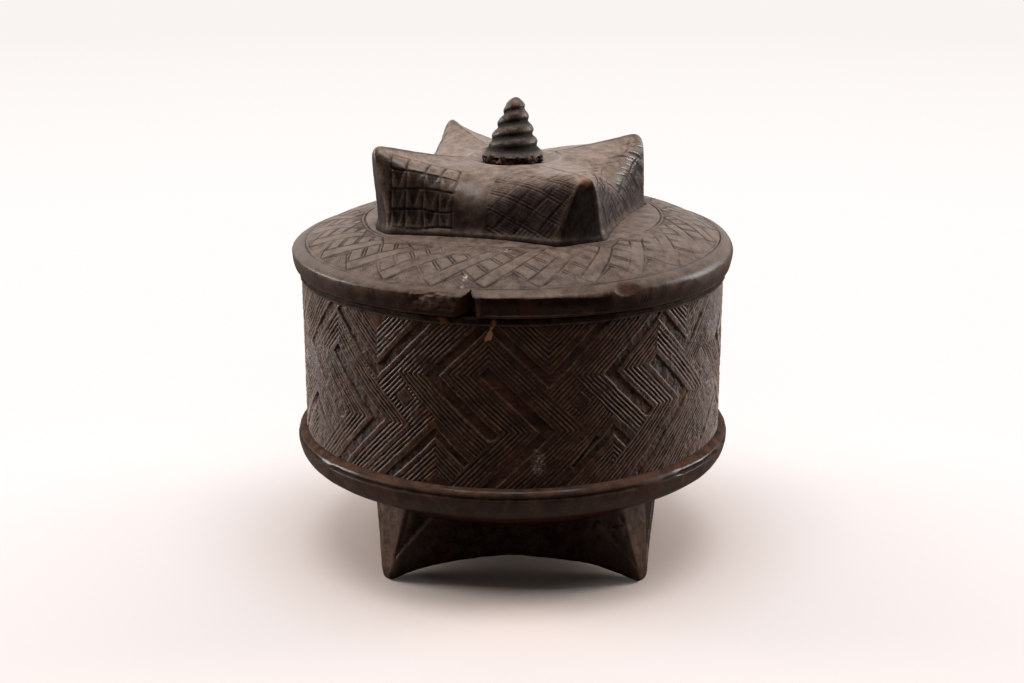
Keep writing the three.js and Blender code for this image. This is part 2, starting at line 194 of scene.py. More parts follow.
def gridFaces(rows, columns, wrapRows=False, wrapColumns=False):
    # Four corners of each cell, with the last row or column joined to the first where wrapped
    upper = np.arange(rows if wrapRows else rows - 1)[:, None]
    left = np.arange(columns if wrapColumns else columns - 1)[None, :]
    lower = (upper + 1) % rows
    right = (left + 1) % columns
    cells = [upper * columns + left, lower * columns + left, lower * columns + right, upper * columns + right]
    return np.stack([cell.ravel() for cell in cells], -1)


def fanFaces(ring, centre, outward):
    # Triangles from each edge of a closed ring to one point
    after = np.roll(ring, -1)
    pair = (ring, after) if outward else (after, ring)
    return np.stack([*pair, np.full(len(ring), centre)], -1)


def makePiece(name, points, faces, body, nodes, slot, material, attributes, flatFaces=()):
    # A mesh object from vertices in millimetres and groups of faces, turned outwards by its signed volume
    points = points.reshape(-1, 3)
    sixVolumes = 0.0
    for group in faces:
        for corner in range(1, group.shape[1] - 1):
            a, b, c = points[group[:, 0]], points[group[:, corner]], points[group[:, corner + 1]]
            sixVolumes += np.einsum("ij,ij->", a, np.cross(b, c))
    if sixVolumes < 0:
        faces = [group[:, ::-1] for group in faces]
    sizes = np.concatenate([np.full(len(group), group.shape[1]) for group in faces])
    corners = np.concatenate([group.ravel() for group in faces])
    shaded = [index not in flatFaces for index in range(len(faces))]
    smooth = np.repeat(shaded, [len(group) for group in faces])
    mesh = bpy.data.meshes.new(name)
    mesh.vertices.add(len(points))
    mesh.vertices.foreach_set("co", (points * mm).ravel())
    mesh.loops.add(len(corners))
    mesh.loops.foreach_set("vertex_index", corners.astype(np.int32))
    mesh.polygons.add(len(sizes))
    mesh.polygons.foreach_set("loop_start", np.concatenate([[0], np.cumsum(sizes)[:-1]]).astype(np.int32))
    mesh.polygons.foreach_set("use_smooth", smooth)
    for key, values in attributes.items():
        layer = mesh.attributes.new(key, "FLOAT", "POINT")
        full = np.zeros(len(points))
        full[:values.size] = np.ravel(values)
        layer.data.foreach_set("value", full)
    mesh.update(calc_edges=True)
    mesh.validate()
    mesh.materials.append(material)
    piece = addObject(name, mesh)
    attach(piece, body)
    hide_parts(*nodes)
    triangles = int(np.sum(sizes - 2))
    print(f"{name}: {len(points)} points, {triangles} triangles, volume {abs(sixVolumes) / 6000:.1f} cm3")


def addObject(name, data):
    # A new object at the origin, linked to the scene
    thing = bpy.data.objects.new(name, data)
    bpy.context.scene.collection.objects.link(thing)
    return thing


def makePoled(name, points, attributes, blankRows=0, **settings):
    # A round surface whose first and last rows each close at one point on the axis. The attributes
    # cover the rows after the first blank ones, and are nought on the rows past their own end.
    rows, columns = points.shape[:2]
    count = (rows - 2) * columns
    full = {}
    for key, value in attributes.items():
        whole = np.zeros((rows, columns))
        whole[blankRows:blankRows + len(value)] = value
        full[key] = whole[1:-1]
    faces = [
        gridFaces(rows - 2, columns, wrapColumns=True),
        fanFaces(np.arange(columns), count, True),
        fanFaces(np.arange(count - columns, count), count + 1, False),
    ]
    everything = np.concatenate([points[1:-1].reshape(-1, 3), [points[0].mean(0), points[-1].mean(0)]])
    makePiece(name, everything, faces, attributes=full, **settings)


# Materials

def addNode(tree, kind, inputs=None, **settings):
    # Sockets among the inputs are linked and plain values are set, a colour with an alpha of 1
    node = tree.nodes.new(kind)
    for key, value in settings.items():
        setattr(node, key, value)
    for key, value in (inputs or {}).items():
        socket = node.inputs[key]
        if isinstance(value, bpy.types.NodeSocket):
            tree.links.new(value, socket)
        else:
            socket.default_value = (*value, 1) if socket.type == "RGBA" else value
    return node


def doMath(tree, operation, first, second, clamp=False):
    # One operation on two values, each a socket or a number, held between 0 and 1 where clamped
    node = addNode(tree, "ShaderNodeMath", {0: first, 1: second}, operation=operation, use_clamp=clamp)
    return node.outputs[0]


def times(tree, first, second, clamp=False):
    # The first value times the second
    return doMath(tree, "MULTIPLY", first, second, clamp)


def plus(tree, first, second, clamp=False):
    # The first value plus the second
    return doMath(tree, "ADD", first, second, clamp)


def doRange(tree, value, low, high, outLow=0.0, outHigh=1.0):
    # From outLow to outHigh as the value goes from low to high, and held there
    node = addNode(tree, "ShaderNodeMapRange", {"Value": value, "From Min": low, "From Max": high,
                                                "To Min": outLow, "To Max": outHigh})
    return node.outputs["Result"]


def noise(tree, place, scale, detail, roughness=0.5, distortion=0.0):
    # Noise around 0.5, with the scale in cells per metre
    return addNode(tree, "ShaderNodeTexNoise", {"Vector": place, "Scale": scale, "Detail": detail,
                                                "Roughness": roughness, "Distortion": distortion}).outputs[0]


def mixColours(tree, share, first, second):
    # The first colour where the share is 0 and the second where it is 1
    return addNode(tree, "ShaderNodeMix", {0: share, 6: first, 7: second}, data_type="RGBA").outputs[2]


def startTree(owner):
    # The emptied node tree of a material or a world
    owner.use_nodes = True
    owner.node_tree.nodes.clear()
    return owner.node_tree


def startGroup(name, inputs, outputs):
    # An input without a value takes a vector, one with a tuple a colour and one with a number a number
    tree = bpy.data.node_groups.new(name, "ShaderNodeTree")
    for key, value in inputs.items():
        kind = "Vector" if value is None else "Color" if isinstance(value, tuple) else "Float"
        socket = tree.interface.new_socket(name=key, in_out="INPUT", socket_type=f"NodeSocket{kind}")
        if value is not None:
            socket.default_value = (*value, 1) if kind == "Color" else value
    for key, kind in outputs.items():
        tree.interface.new_socket(name=key, in_out="OUTPUT", socket_type=f"NodeSocket{kind}")
    return tree, tree.nodes.new("NodeGroupInput").outputs, tree.nodes.new("NodeGroupOutput").inputs


def makeFibreGroup():
    # Wood fibres as noise stretched along the log, and the height of fibres and grit together
    tree, given, out = startGroup("woodFibre", {"Vector": None, "Fineness": 900.0, "Stretch": 0.07},
                                  {"Fibre": "Float", "Height": "Float"})
    squeeze = addNode(tree, "ShaderNodeCombineXYZ", {"X": 1.0, "Y": 1.0, "Z": given["Stretch"]}).outputs[0]
    place = addNode(tree, "ShaderNodeVectorMath", {0: given["Vector"], 1: squeeze}, operation="MULTIPLY")
    fine = noise(tree, place.outputs[0], given["Fineness"], 3.0, 0.6)
    broad = noise(tree, place.outputs[0], times(tree, given["Fineness"], 0.22), 2.0)
    fibre = plus(tree, times(tree, fine, 0.6), times(tree, broad, 0.4))
    grit = noise(tree, given["Vector"], 1500.0, 2.0)
    tree.links.new(doRange(tree, fibre, 0.36, 0.62), out["Fibre"])
    tree.links.new(plus(tree, fibre, times(tree, grit, 0.5)), out["Height"])
    return tree


def makePatinaAndLightGroup():
    # Smoke and oil patina and painted light: the body colour in blotches, a deep colour in cuts and in
    # painted shade, a rubbed one on ridges and on painted highlights
    tree, given, out = startGroup("patinaAndPaintedLight", {
        "Vector": None, "Cut": 0.0, "Ridge": 0.0, "Fibre": 0.5,
        "Deep": (0.01, 0.005, 0.003), "Body": (0.03, 0.02, 0.015),
        "Warm": (0.05, 0.02, 0.01), "Rubbed": (0.07, 0.05, 0.04),
        "Warmth": 0.5, "Gloss": 0.35, "Matt": 0.65,
    }, {"Color": "Color", "Roughness": "Float"})
    broad = noise(tree, given["Vector"], 28.0, 4.0, 0.6)
    patch = noise(tree, given["Vector"], 110.0, 5.0, 0.65, 0.4)
    speck = noise(tree, given["Vector"], 520.0, 3.0, 0.7)
    warm = times(tree, doRange(tree, broad, 0.4, 0.62), given["Warmth"])
    dark = doRange(tree, patch, 0.35, 0.68, 0.85, 0.0)
    streak = times(tree, doMath(tree, "SUBTRACT", 1.0, given["Fibre"]), 0.45)
    cut = times(tree, given["Cut"], 0.93, clamp=True)
    worn = times(tree, doRange(tree, patch, 0.36, 0.62, 0.3, 1.0), doRange(tree, speck, 0.34, 0.6, 0.35, 1.0))
    rubbed = times(tree, given["Ridge"], worn, clamp=True)
    colour = given["Body"]
    for share, layer in ((warm, "Warm"), (dark, "Deep"), (streak, "Deep"), (cut, "Deep"), (rubbed, "Rubbed")):
        colour = mixColours(tree, share, colour, given[layer])
    tree.links.new(colour, out["Color"])
    rough = plus(tree, cut, doRange(tree, patch, 0.3, 0.7, 0.0, 0.35), clamp=True)
    rough = plus(tree, rough, doRange(tree, speck, 0.4, 0.7, 0.0, 0.2), clamp=True)
    rough = doMath(tree, "SUBTRACT", rough, times(tree, rubbed, 0.5), clamp=True)
    mix = addNode(tree, "ShaderNodeMix", {0: rough, 2: given["Gloss"], 3: given["Matt"]}, data_type="FLOAT")
    tree.links.new(mix.outputs[0], out["Roughness"])
    return tree


def makeDustGroup():
    # Grey dust on faces that look up and in the cuts, broken up by noise, and chalky grains where marked
    tree, given, out = startGroup("dust", {
        "Vector": None, "Normal": None, "Cut": 0.0, "Chalk": 0.0, "Amount": 0.3, "In Cuts": 0.5,
    }, {"Dust": "Float", "Chalk": "Float"})
    facing = addNode(tree, "ShaderNodeSeparateXYZ", {0: given["Normal"]})
    upward = times(tree, doRange(tree, facing.outputs["Z"], 0.2, 0.95), given["Amount"])
    spots = noise(tree, given["Vector"], 160.0, 6.0, 0.7)
    thin = times(tree, upward, doRange(tree, spots, 0.35, 0.63, 0.3, 1.0))
    thin = times(tree, thin, doRange(tree, given["Cut"], 0.15, 0.9, 1.0, 0.3))
    trapped = times(tree, times(tree, given["Cut"], given["In Cuts"]), doRange(tree, spots, 0.42, 0.62))
    tree.links.new(plus(tree, thin, trapped, clamp=True), out["Dust"])
    grains = noise(tree, given["Vector"], 700.0, 3.0, 0.7)
    chalk = times(tree, given["Chalk"], doRange(tree, grains, 0.47, 0.6), clamp=True)
    tree.links.new(chalk, out["Chalk"])
    return tree


fibreGroup = makeFibreGroup()
patinaAndLightGroup = makePatinaAndLightGroup()
dustGroup = makeDustGroup()


def makeWood(name, values):
    # Point attributes say where the surface is cut in, worn on a ridge, split fresh, bare or chalky; the cut
    # and ridge attributes also carry painted shade and painted highlights
    material = bpy.data.materials.new(name)
    tree = startTree(material)
    place = addNode(tree, "ShaderNodeTexCoord").outputs["Object"]
    normal = addNode(tree, "ShaderNodeNewGeometry").outputs["Normal"]
    cut, ridge, fresh, bare, chalk = [
        addNode(tree, "ShaderNodeAttribute", attribute_name=key).outputs["Fac"]
        for key in ("cut", "ridge", "fresh", "bare", "chalk")]
    fibre = addNode(tree, "ShaderNodeGroup", {
        "Vector": place, "Fineness": values["fineness"], "Stretch": values["stretch"],
    }, node_tree=fibreGroup).outputs
    patinaAndPaintedLight = addNode(tree, "ShaderNodeGroup", {
        "Vector": place, "Cut": cut, "Ridge": ridge, "Fibre": fibre["Fibre"],
        **{key: values[key.lower()] for key in ("Deep", "Body", "Warm", "Rubbed", "Warmth", "Gloss", "Matt")},
    }, node_tree=patinaAndLightGroup).outputs
    dust = addNode(tree, "ShaderNodeGroup", {
        "Vector": place, "Normal": normal, "Cut": cut, "Chalk": chalk,
        "Amount": values["dust"], "In Cuts": values["dustInCuts"],
    }, node_tree=dustGroup).outputs
    colour = patinaAndPaintedLight["Color"]
    for share, layer in ((fresh, "freshWood"), (bare, "bareWood"), (dust["Dust"], "dustColour"),
                         (dust["Chalk"], "chalkColour")):
        colour = mixColours(tree, share, colour, values[layer])
    dry = plus(tree, times(tree, dust["Dust"], 0.4), times(tree, fresh, 0.25))
    rough = plus(tree, patinaAndPaintedLight["Roughness"], dry, clamp=True)
    bump = addNode(tree, "ShaderNodeBump", {"Height": fibre["Height"], "Strength": values["bump"],
                                            "Distance": values["bumpDepth"]})
    shader = addNode(tree, "ShaderNodeBsdfPrincipled", {
        "Base Color": colour, "Roughness": rough, "Normal": bump.outputs[0],
        "Specular IOR Level": values["specular"],
        "Sheen Weight": values["sheen"], "Sheen Roughness": values["sheenRoughness"],
        "Sheen Tint": values["sheenTint"],
        "Coat Weight": doRange(tree, rough, values["gloss"], values["matt"], values["coat"], 0.0),
        "Coat Roughness": values["coatRoughness"]})
    output = addNode(tree, "ShaderNodeOutputMaterial", {"Surface": shader.outputs[0]})
    output.is_active_output = True
    return material


woodBase = {
    "deep": (0.008, 0.0026, 0.0012),
    "body": (0.054, 0.02, 0.0095),
    "warm": (0.075, 0.022, 0.0085),
    "rubbed": (0.165, 0.1, 0.068),
    "freshWood": (0.11, 0.032, 0.012),
    "bareWood": (0.42, 0.2, 0.1),
    "dustColour": (0.4, 0.285, 0.222),
    "chalkColour": (0.62, 0.56, 0.5),
    "warmth": 0.8,
    "gloss": 0.36,
    "matt": 0.66,
    "dust": 0.1,
    "dustInCuts": 0.06,
    "fineness": 900.0,
    "stretch": 0.07,
    "bump": 0.35,
    "bumpDepth": 0.0006,
    "specular": 0.07,
    "sheen": 0.0,
    "sheenRoughness": 0.3,
    "sheenTint": (1.0, 0.87, 0.79),
    "coat": 0.0,
    "coatRoughness": 0.3,
}
polishedValues = {
    **woodBase, "deep": (0.008, 0.0032, 0.0018), "body": (0.044, 0.021, 0.013), "warm": (0.07, 0.027, 0.0135),
    "rubbed": (0.17, 0.11, 0.08), "warmth": 0.5, "gloss": 0.24, "matt": 0.75, "dust": 0.24}
carvedWood = makeWood("carvedWood", {
    **woodBase, "body": (0.058, 0.019, 0.0065), "warm": (0.085, 0.022, 0.006),
    "rubbed": (0.145, 0.084, 0.053), "specular": 0.18, "sheen": 1.0, "sheenRoughness": 0.31})
turnedWood = makeWood("turnedWood", {
    **woodBase, "gloss": 0.24, "matt": 0.8, "warmth": 0.6, "specular": 0.08,
    "coat": 0.9, "coatRoughness": 0.16})
polishedWood = makeWood("polishedWood", {**polishedValues, "specular": 0.14})
domeWood = makeWood("domeWood", {**polishedValues, "specular": 0.22, "dust": 0.42})
dustyWood = makeWood("dustyWood", {
    **polishedValues, "body": (0.05, 0.023, 0.0135), "specular": 0.12, "dust": 0.69,
    "coat": 0.5, "coatRoughness": 0.22})
blackWood = makeWood("blackWood", {
    **woodBase, "deep": (0.004, 0.0022, 0.0015), "body": (0.026, 0.0155, 0.0105),
    "warm": (0.036, 0.018, 0.0105), "rubbed": (0.125, 0.088, 0.068), "gloss": 0.3, "matt": 0.75, "dust": 0.12,
    "dustInCuts": 0.0, "specular": 0.16, "stretch": 1.0, "fineness": 500.0, "bump": 0.6})
pitchBlack = makeWood("pitchBlack", {
    **woodBase, "deep": (0.003, 0.0015, 0.001), "body": (0.009, 0.005, 0.003), "warm": (0.03, 0.011, 0.005),
    "rubbed": (0.2, 0.13, 0.092), "gloss": 0.45, "matt": 0.9, "dust": 0.0, "fineness": 500.0,
    "stretch": 1.0, "bump": 0.8})
ofVessel = {"body": "vessel", "nodes": ["vessel"], "slot": "carved_wood"}
ofLid = {"body": "lid", "nodes": ["lid"], "slot": "polished_wood"}
print("materials made")


# Carved wall: interlaced bands cut on lines at 45 degrees

wall = {
    "repeats": 8,
    "phase": -15.0,          # from the front to the origin of the first motif, along the wall
    "linesPerRepeat": 32,    # rising grooves in one repeat, measured across them
    "grooveDepth": 0.92,
    "recessDepth": 1.2,
    "edge": 0.55,
    # how much nearer each motif's far forms stand, counterclockwise from the front
    "nearer": (0, 11.5, 3, 6, 0, 8, 2, 0),
    "ground": 20.4,                                   # the first groove of the ground
    # each form's edges, across the rising and the falling lines, then what its loop below names
    "band": (-3.5, -48.5, 13.4, 52, 1.9),
    "gable": (21.6, -64.2, -2.6, 52, (8, 20.5), (1.5, 5.8), 9.2),
    "valley": (45.5, 5.2, 8.2, -4.2, (1.6, 14.5), (1.1, 6.4), 2.8),
    "hairpinUnder": (67.4, -24.0, 15.6),
    "hairpinOver": (73.2, -16.8, 12.9),
    "hairpin": (18.8, 2.4, 1.0, 3.9),
    "recess": (-3.1, -48.3, 2.4, -41.8, 1.6),
    "recessEnd": (49, -45, 0.4, 2.9),
    "lozenge": (72, 5.8, (4.4, 5.2), 0.15, 0.5),
    "gouge": ((50, 70), (36, 86), 1.1, 1.3),          # from, to, half width, depth
    "scar": ((-10.5, -3.6), (-14.0, 8.6), 0.6, 1.8),  # from, to, half width at each end
    "chalk": ((15, 83), (4, 6)),                      # centre, half sizes
    # noise layers: height, cell size and seed
    "swayAlong": ((0.9, 38, 3), (0.25, 7, 4)),
    "swayDown": ((0.9, 38, 5), (0.25, 7, 6)),
    "wear": ((0.5, 14, 7), (0.35, 4, 17)),
    "grain": ((0.2, 2.6, 8), (0.1, 1.3, 18), (0.22, 17, 9)),
    "recessGrain": ((0.3, 1.4, 10),),
    "columns": 384,          # cells along one quarter
    "rows": 178,
    "thickness": 3.6,
    "overlap": 0.8,          # into the lip and the bead
}
wallLength = fullTurn * vessel["wallRadius"]
wallHeight = vessel["lip"] - vessel["wallFoot"]
unevenness = np.random.default_rng(2).uniform(-1, 1, 64)     # one value for each groove's own depth


def grooveRow(offset, pitch, depth):
    # Rounded valleys a pitch apart with flatter tops between them, each of its own depth
    wave = 0.5 + 0.5 * np.cos(fullTurn * offset / pitch)
    own = unevenness[np.round(offset / pitch).astype(int) % len(unevenness)]
    return -depth * (0.85 + 0.3 * own) * wave ** 1.3


def wallRelief(along, down, depthShare):
    # Each form is given by a distance that grows away from its edge. The lines run at 45 degrees, so
    # rising is constant along a rising line and falling is constant along a falling one, and the
    # larger or smaller of two such distances turns a band round a mitred corner.
    repeat = wallLength / wall["repeats"]
    pitch = repeat / rootTwo / wall["linesPerRepeat"]
    cut, deep, edge = wall["grooveDepth"] * depthShare, wall["recessDepth"] * depthShare, wall["edge"]
    base = (along - wall["phase"]) / repeat
    own = np.floor(base + 0.5)
    shapes = []
    for shift in (-2, -1, 0, 1, 2):
        across = (base - own - shift) * repeat
        nearer = np.array(wall["nearer"])[(own + shift).astype(int) % wall["repeats"]]
        shapes.append(((across + down) / rootTwo, (across - down) / rootTwo, nearer))
    relief = grooveRow(shapes[2][0] - wall["ground"], pitch, cut)
    recess = np.zeros_like(relief)

    def inside(distance):
        # 1 where the distance is less than nothing, 0 beyond, with a soft edge
        return smoothStep(-distance, edge)

    def paint(mask, value, bare):
        # What was there where the mask is 0, and the new value where it is 1
        nonlocal relief, recess
        relief = relief * (1 - mask) + value * mask
        recess = recess * (1 - mask) + bare * mask

    def carve(outside, distance, firstLine, lines, sunk):
        # Grooves parallel to the form's edge, less the recess depth where it is sunk
        paint(inside(outside), grooveRow(distance - firstLine, pitch, cut) * lines - deep * sunk, sunk)

    # band that turns left outside the first recess
    riseEdge, fallEdge, width, farEnd, firstLine = wall["band"]
    for rising, falling, nearer in shapes:
        out = np.maximum(riseEdge - rising, fallEdge - falling)
        carve(np.maximum.reduce([-out, out - width, rising - farEnd + nearer]), out, firstLine, 1, 0)
    # gables that stand on the bead, with a sunk outline
    riseEdge, fallEdge, border, farEnd, lined, outlined, firstLine = wall["gable"]
    for rising, falling, nearer in shapes:
        into = np.minimum(rising - riseEdge, fallEdge - falling)
        carve(np.maximum(border - into, rising - farEnd + nearer), into, firstLine,
              between(into, *lined, edge), between(into, *outlined, edge))
    # valleys that hang from the lip, with a sunk outline
    riseEdge, fallEdge, border, flatEnd, lined, outlined, firstLine = wall["valley"]
    for rising, falling, nearer in shapes:
        out = np.maximum(rising - riseEdge + nearer, fallEdge - falling)
        carve(np.maximum(out - border, flatEnd - falling), -out, firstLine,
              between(-out, *lined, edge), between(out, *outlined, edge))
    # hairpin band with the second recess in it
    underRise, underFall, underWidth = wall["hairpinUnder"]
    overRise, overFall, overWidth = wall["hairpinOver"]
    startEdge, lineStart, lineEnd, firstLine = wall["hairpin"]
    for rising, falling, nearer in shapes:
        under = np.minimum(underFall - falling, underRise - nearer - rising)
        over = np.maximum(falling - overFall, rising - overRise + nearer)
        rest = np.maximum(under, startEdge - rising)
        out = np.maximum(over, rest)
        width = np.where(over > rest, overWidth, underWidth)
        carve(out - width, out, firstLine, between(out, lineStart, width - lineEnd, edge), inside(out))
    # first recess, blunt at its lower end
    riseEdge, fallEdge, riseInner, fallInner, border = wall["recess"]
    farEnd, middle, halfWidth, roundness = wall["recessEnd"]
    for rising, falling, nearer in shapes:
        end = farEnd - nearer
        turned = np.minimum(rising - riseInner, falling - fallInner)
        out = np.maximum.reduce([riseEdge - rising, fallEdge - falling, turned])
        sideways = np.maximum(np.abs(falling - middle) - halfWidth, 0)
        blunt = np.hypot(np.maximum(rising - end, 0), sideways) - roundness
        out = np.where(rising > end, blunt, out)
        paint(inside(out - border), -deep * inside(out), inside(out))
    # plain lozenge
    riseMiddle, fallMiddle, outline, ground, sunk = wall["lozenge"]
    for rising, falling, nearer in shapes:
        out = np.maximum(np.abs(rising - riseMiddle + nearer), np.abs(falling - fallMiddle))
        paint(inside(out - outline[1]), -ground - sunk * between(out, *outline, edge), 0)
    return relief, recess


def alongLine(x, y, start, end):
    # The share of the way from start to end at the nearest point, and the distance from it
    reach = np.subtract(end, start)
    share = limit(((x - start[0]) * reach[0] + (y - start[1]) * reach[1]) / (reach @ reach))
    return share, np.hypot(x - start[0] - share * reach[0], y - start[1] - share * reach[1])


def wallMarks(along, down, ragged):
    # The gouge, the splinter scar that runs down from the lip, and the chalky patch
    start, end, half, depth = wall["gouge"]
    away = alongLine(along, down, start, end)[1]
    gouge = depth * limit(1.6 - away / half + 0.4 * ragged)
    start, end, top, foot = wall["scar"]
    share, away = alongLine(along, down, start, end)
    neck = 1 - 0.6 * peak(share, 0.5, 0.14)
    scar = 1 - smoothStep(away - (top + (foot - top) * share) * neck - 0.35 * ragged, 0.4)
    scar = scar * (1 - smoothStep(down - end[1] + 0.3 * (along - end[0]), 0.5))
    centre, size = wall["chalk"]
    away = np.hypot((along - centre[0]) / size[0], (down - centre[1]) / size[1])
    return gouge, scar, limit(1.3 - away + 0.5 * ragged)


def ridgeMask(relief, reach):
    # High where the surface stands above its neighbours
    around = sum(np.roll(relief, shift, axis) for shift in (-reach, reach) for axis in (0, 1)) / 4
    return limit((relief - around) / 0.35)


def quarterFaces(lift, rows, wide):
    # The cells of the front, each split along the diagonal whose ends are nearer in height, so that
    # grooves stay crisp, then strips to the two rows of the back, and the two ends
    count = rows * wide
    a, b, c, d = gridFaces(rows, wide).T
    first = np.abs(lift[a] - lift[c]) < np.abs(lift[b] - lift[d])
    faces = [np.concatenate([
        np.stack([a, b, c], -1)[first], np.stack([a, c, d], -1)[first],
        np.stack([a, b, d], -1)[~first], np.stack([b, c, d], -1)[~first]])]
    topRow, bottomRow = np.arange(wide), np.arange(count - wide, count)
    backTop, backBottom = count + np.arange(wide), count + wide + np.arange(wide)
    for near, far in ((backTop, topRow), (bottomRow, backBottom), (backBottom, backTop)):
        faces.append(np.stack([near[:-1], far[:-1], far[1:], near[1:]], -1))
    leftColumn, rightColumn = np.arange(0, count, wide), np.arange(wide - 1, count, wide)
    faces.append(np.concatenate([leftColumn[::-1], [backTop[0], backBottom[0]]])[None])
    faces.append(np.concatenate([rightColumn, [backBottom[-1], backTop[-1]]])[None])
    return faces


def makeWall():
    # The relief stands on a cylinder, cut into four quarters with a back of their own
    columns, rows, radius = wall["columns"], wall["rows"], vessel["wallRadius"]
    turns = evenTurns(4 * columns)
    down = np.linspace(-wall["overlap"], wallHeight + wall["overlap"], rows + 1)[:, None]
    level = vessel["lip"] - down
    plain = aroundAxis(radius, turns, level)
    along = radius * fromFront(turns) + 0 * down
    worn = limit(0.8 + uneven(plain, wall["wear"]), 0.25, 1.3)
    swayedAlong = along + uneven(plain, wall["swayAlong"])
    relief, recess = wallRelief(swayedAlong, down + uneven(plain, wall["swayDown"]), worn)
    relief = relief + uneven(plain, wall["grain"]) + recess * uneven(plain, wall["recessGrain"])
    gouge, scar, chalk = wallMarks(along, down, softNoise(plain, *wall["grain"][0][1:]))
    relief = relief * (1 - scar) + 0.2 * scar - gouge
    marks = {
        "cut": limit(-relief / wall["grooveDepth"]),
        "ridge": ridgeMask(relief, 2) * (1 - recess),
        "fresh": 0.3 * recess * limit(0.5 + softNoise(plain, 9, 13)),
        "bare": 0.85 * scar,
        "chalk": 0.5 * (chalk + 0.12 * recess * limit(softNoise(plain, 24, 14) - 0.25)),
    }
    skin = aroundAxis(radius + relief, turns, level)
    for quarter in range(4):
        take = np.arange(quarter * columns, (quarter + 1) * columns + 1) % (4 * columns)
        back = aroundAxis(radius - wall["thickness"], turns[take], level[[0, -1]])
        points = np.concatenate([skin[:, take], back])
        faces = quarterFaces(relief[:, take].ravel(), rows + 1, columns + 1)
        makePiece(f"wall_{quarter + 1}", points, faces, material=carvedWood, flatFaces=(1, 2, 3, 4, 5),
                  attributes={key: values[:, take] for key, values in marks.items()}, **ofVessel)


makeWall()


# Vessel: rounded bottom, bead, lip and inside

shell = {
    "segments": 480,
    "step": 1.2,
    "insideStep": 6,
    "coreOverlap": 0.5,              # how far the core reaches into the carved wall
    "handmade": ((0.45, 24, 11), (0.18, 6, 12)),      # noise layers: height, cell size and seed
    "edgeRound": 1.1,
    "beadLine": 1.4,                 # above the bead's widest level
    "beadLineDepth": 0.9,
    "toolLines": (54, 64, 2.4),      # from, to, pitch
    "toolLineDepth": 0.25,
    "patch": (-40.6, 2.8),           # along the lip, half width
    "sideShade": (211, 110, 70),     # along the wall: each side's middle, the painted shade's reach and soft edge
}


def makeShell():
    # A turned profile: the underbody's rim, the bead, a core behind the carved wall, the lip and the cavity
    wallRadius, cavity, floor = vessel["wallRadius"], vessel["cavityRadius"], vessel["cavityFloor"]
    widest, foot, lip, mouth = vessel["beadWidest"], vessel["wallFoot"], vessel["lip"], vessel["mouth"]
    undercut, fillet, edge = vessel["beadUndercut"], vessel["cavityFillet"], shell["edgeRound"]
    lipRadius = wallRadius + vessel["lipProud"]
    core = wallRadius - wall["thickness"] + shell["coreOverlap"]
    outer = profileLine([
        (vessel["underbodyRadius"], vessel["underbodyLevel"]),
        bow((vessel["beadRadius"] - undercut, widest), undercut, vessel["beadLowerHeight"], -quarterTurn, 0),
        bow((wallRadius, widest), vessel["beadRadius"] - wallRadius, foot - widest, 0, quarterTurn),
        (core, foot),
    ], shell["step"])
    upper = profileLine([
        (core, lip),
        (lipRadius - 0.4, lip),
        (lipRadius, lip + 0.5),
        bow((lipRadius - edge, mouth - edge), edge, edge, 0, quarterTurn, 5),
        bow((cavity + edge, mouth - edge), edge, edge, quarterTurn, 2 * quarterTurn, 5),
    ], shell["step"])
    inner = profileLine([
        (cavity, mouth - 2 * edge),
        bow((cavity - fillet, floor + fillet), fillet, fillet, 0, -quarterTurn, 8),
        (0.0, floor),
    ], shell["insideStep"])
    line = np.concatenate([[(0.0, vessel["underbodyLevel"])], outer, upper, inner])
    turns = evenTurns(shell["segments"])
    radius, level = line[:, :1], line[:, 1:]
    points = aroundAxis(radius, turns, level)
    onBead = radius > wallRadius
    onLip = (level > lip) & (radius > lipRadius - 2)
    underLip = level < lip - 5
    outside = (radius > 60) & ~((radius < cavity + 1) & (level > floor - 1))
    broken = smoothStep(softNoise(points, 16, 15) + 0.2, 0.5)
    beadLine = peak(level, widest + shell["beadLine"], 1.5) * onBead * broken
    low, high, pitch = shell["toolLines"]
    toolBand = between(level, low, high, 3) * (radius > 90)
    toolLines = shell["toolLineDepth"] * toolBand * np.sin(fullTurn * level / pitch)
    handmade = (uneven(points, shell["handmade"]) + toolLines) * outside
    pushOut(points, handmade - shell["beadLineDepth"] * beadLine, np.maximum(radius, 1))
    along = wallRadius * fromFront(turns)
    mottled = limit(0.5 + softNoise(points, 5, 19))
    ragged = softNoise(points, 3, 16)
    worn = 0.2 * peak(level, widest + 4.5, 3, 1.2) + 0.4 * peak(level, widest - 5, 6)
    lipEdge = (np.abs(level - lip - 0.7) < 0.7) & (radius > lipRadius - 1.5)
    wallFoot = onBead * smoothStep(level - foot + 2.4, 1.5) * underLip
    centre, half = shell["patch"]
    patch = onLip * smoothStep(half - np.abs(along - centre) + 2.2 * ragged, 1.2)
    scar = onLip * smoothStep(0.9 - np.abs(along - wall["scar"][0][0]) + 0.5 * ragged, 0.6)
    # Painted shade: the bead is darker and rougher towards its left and right sides
    middle, reach, soft = shell["sideShade"]
    fromSide = np.abs(np.abs(along) - middle)
    sideShade = 0.5 * onBead * smoothStep(reach - fromSide, soft) * underLip
    makePoled("vessel_shell", points, {
        "ridge": mottled * worn * onBead + 0.8 * lipEdge,
        # The lip band under the lid's rim is dark all over: painted shade
        "cut": limit(1.3 * beadLine + 0.3 * toolBand + 1.0 * onLip + 0.5 * wallFoot + sideShade),
        "fresh": limit(0.4 * toolBand + 0.4 * mottled * wallFoot + 0.6 * patch),
        "bare": 0.16 * patch + 0.6 * scar,
    }, material=turnedWood, **ofVessel)


makeShell()


# Cushion form, shared by the base and the boss

def rotated(x, y, angle):
    # x and y turned counterclockwise about the axis
    c, s = np.cos(angle), np.sin(angle)
    return c * x - s * y, s * x + c * y


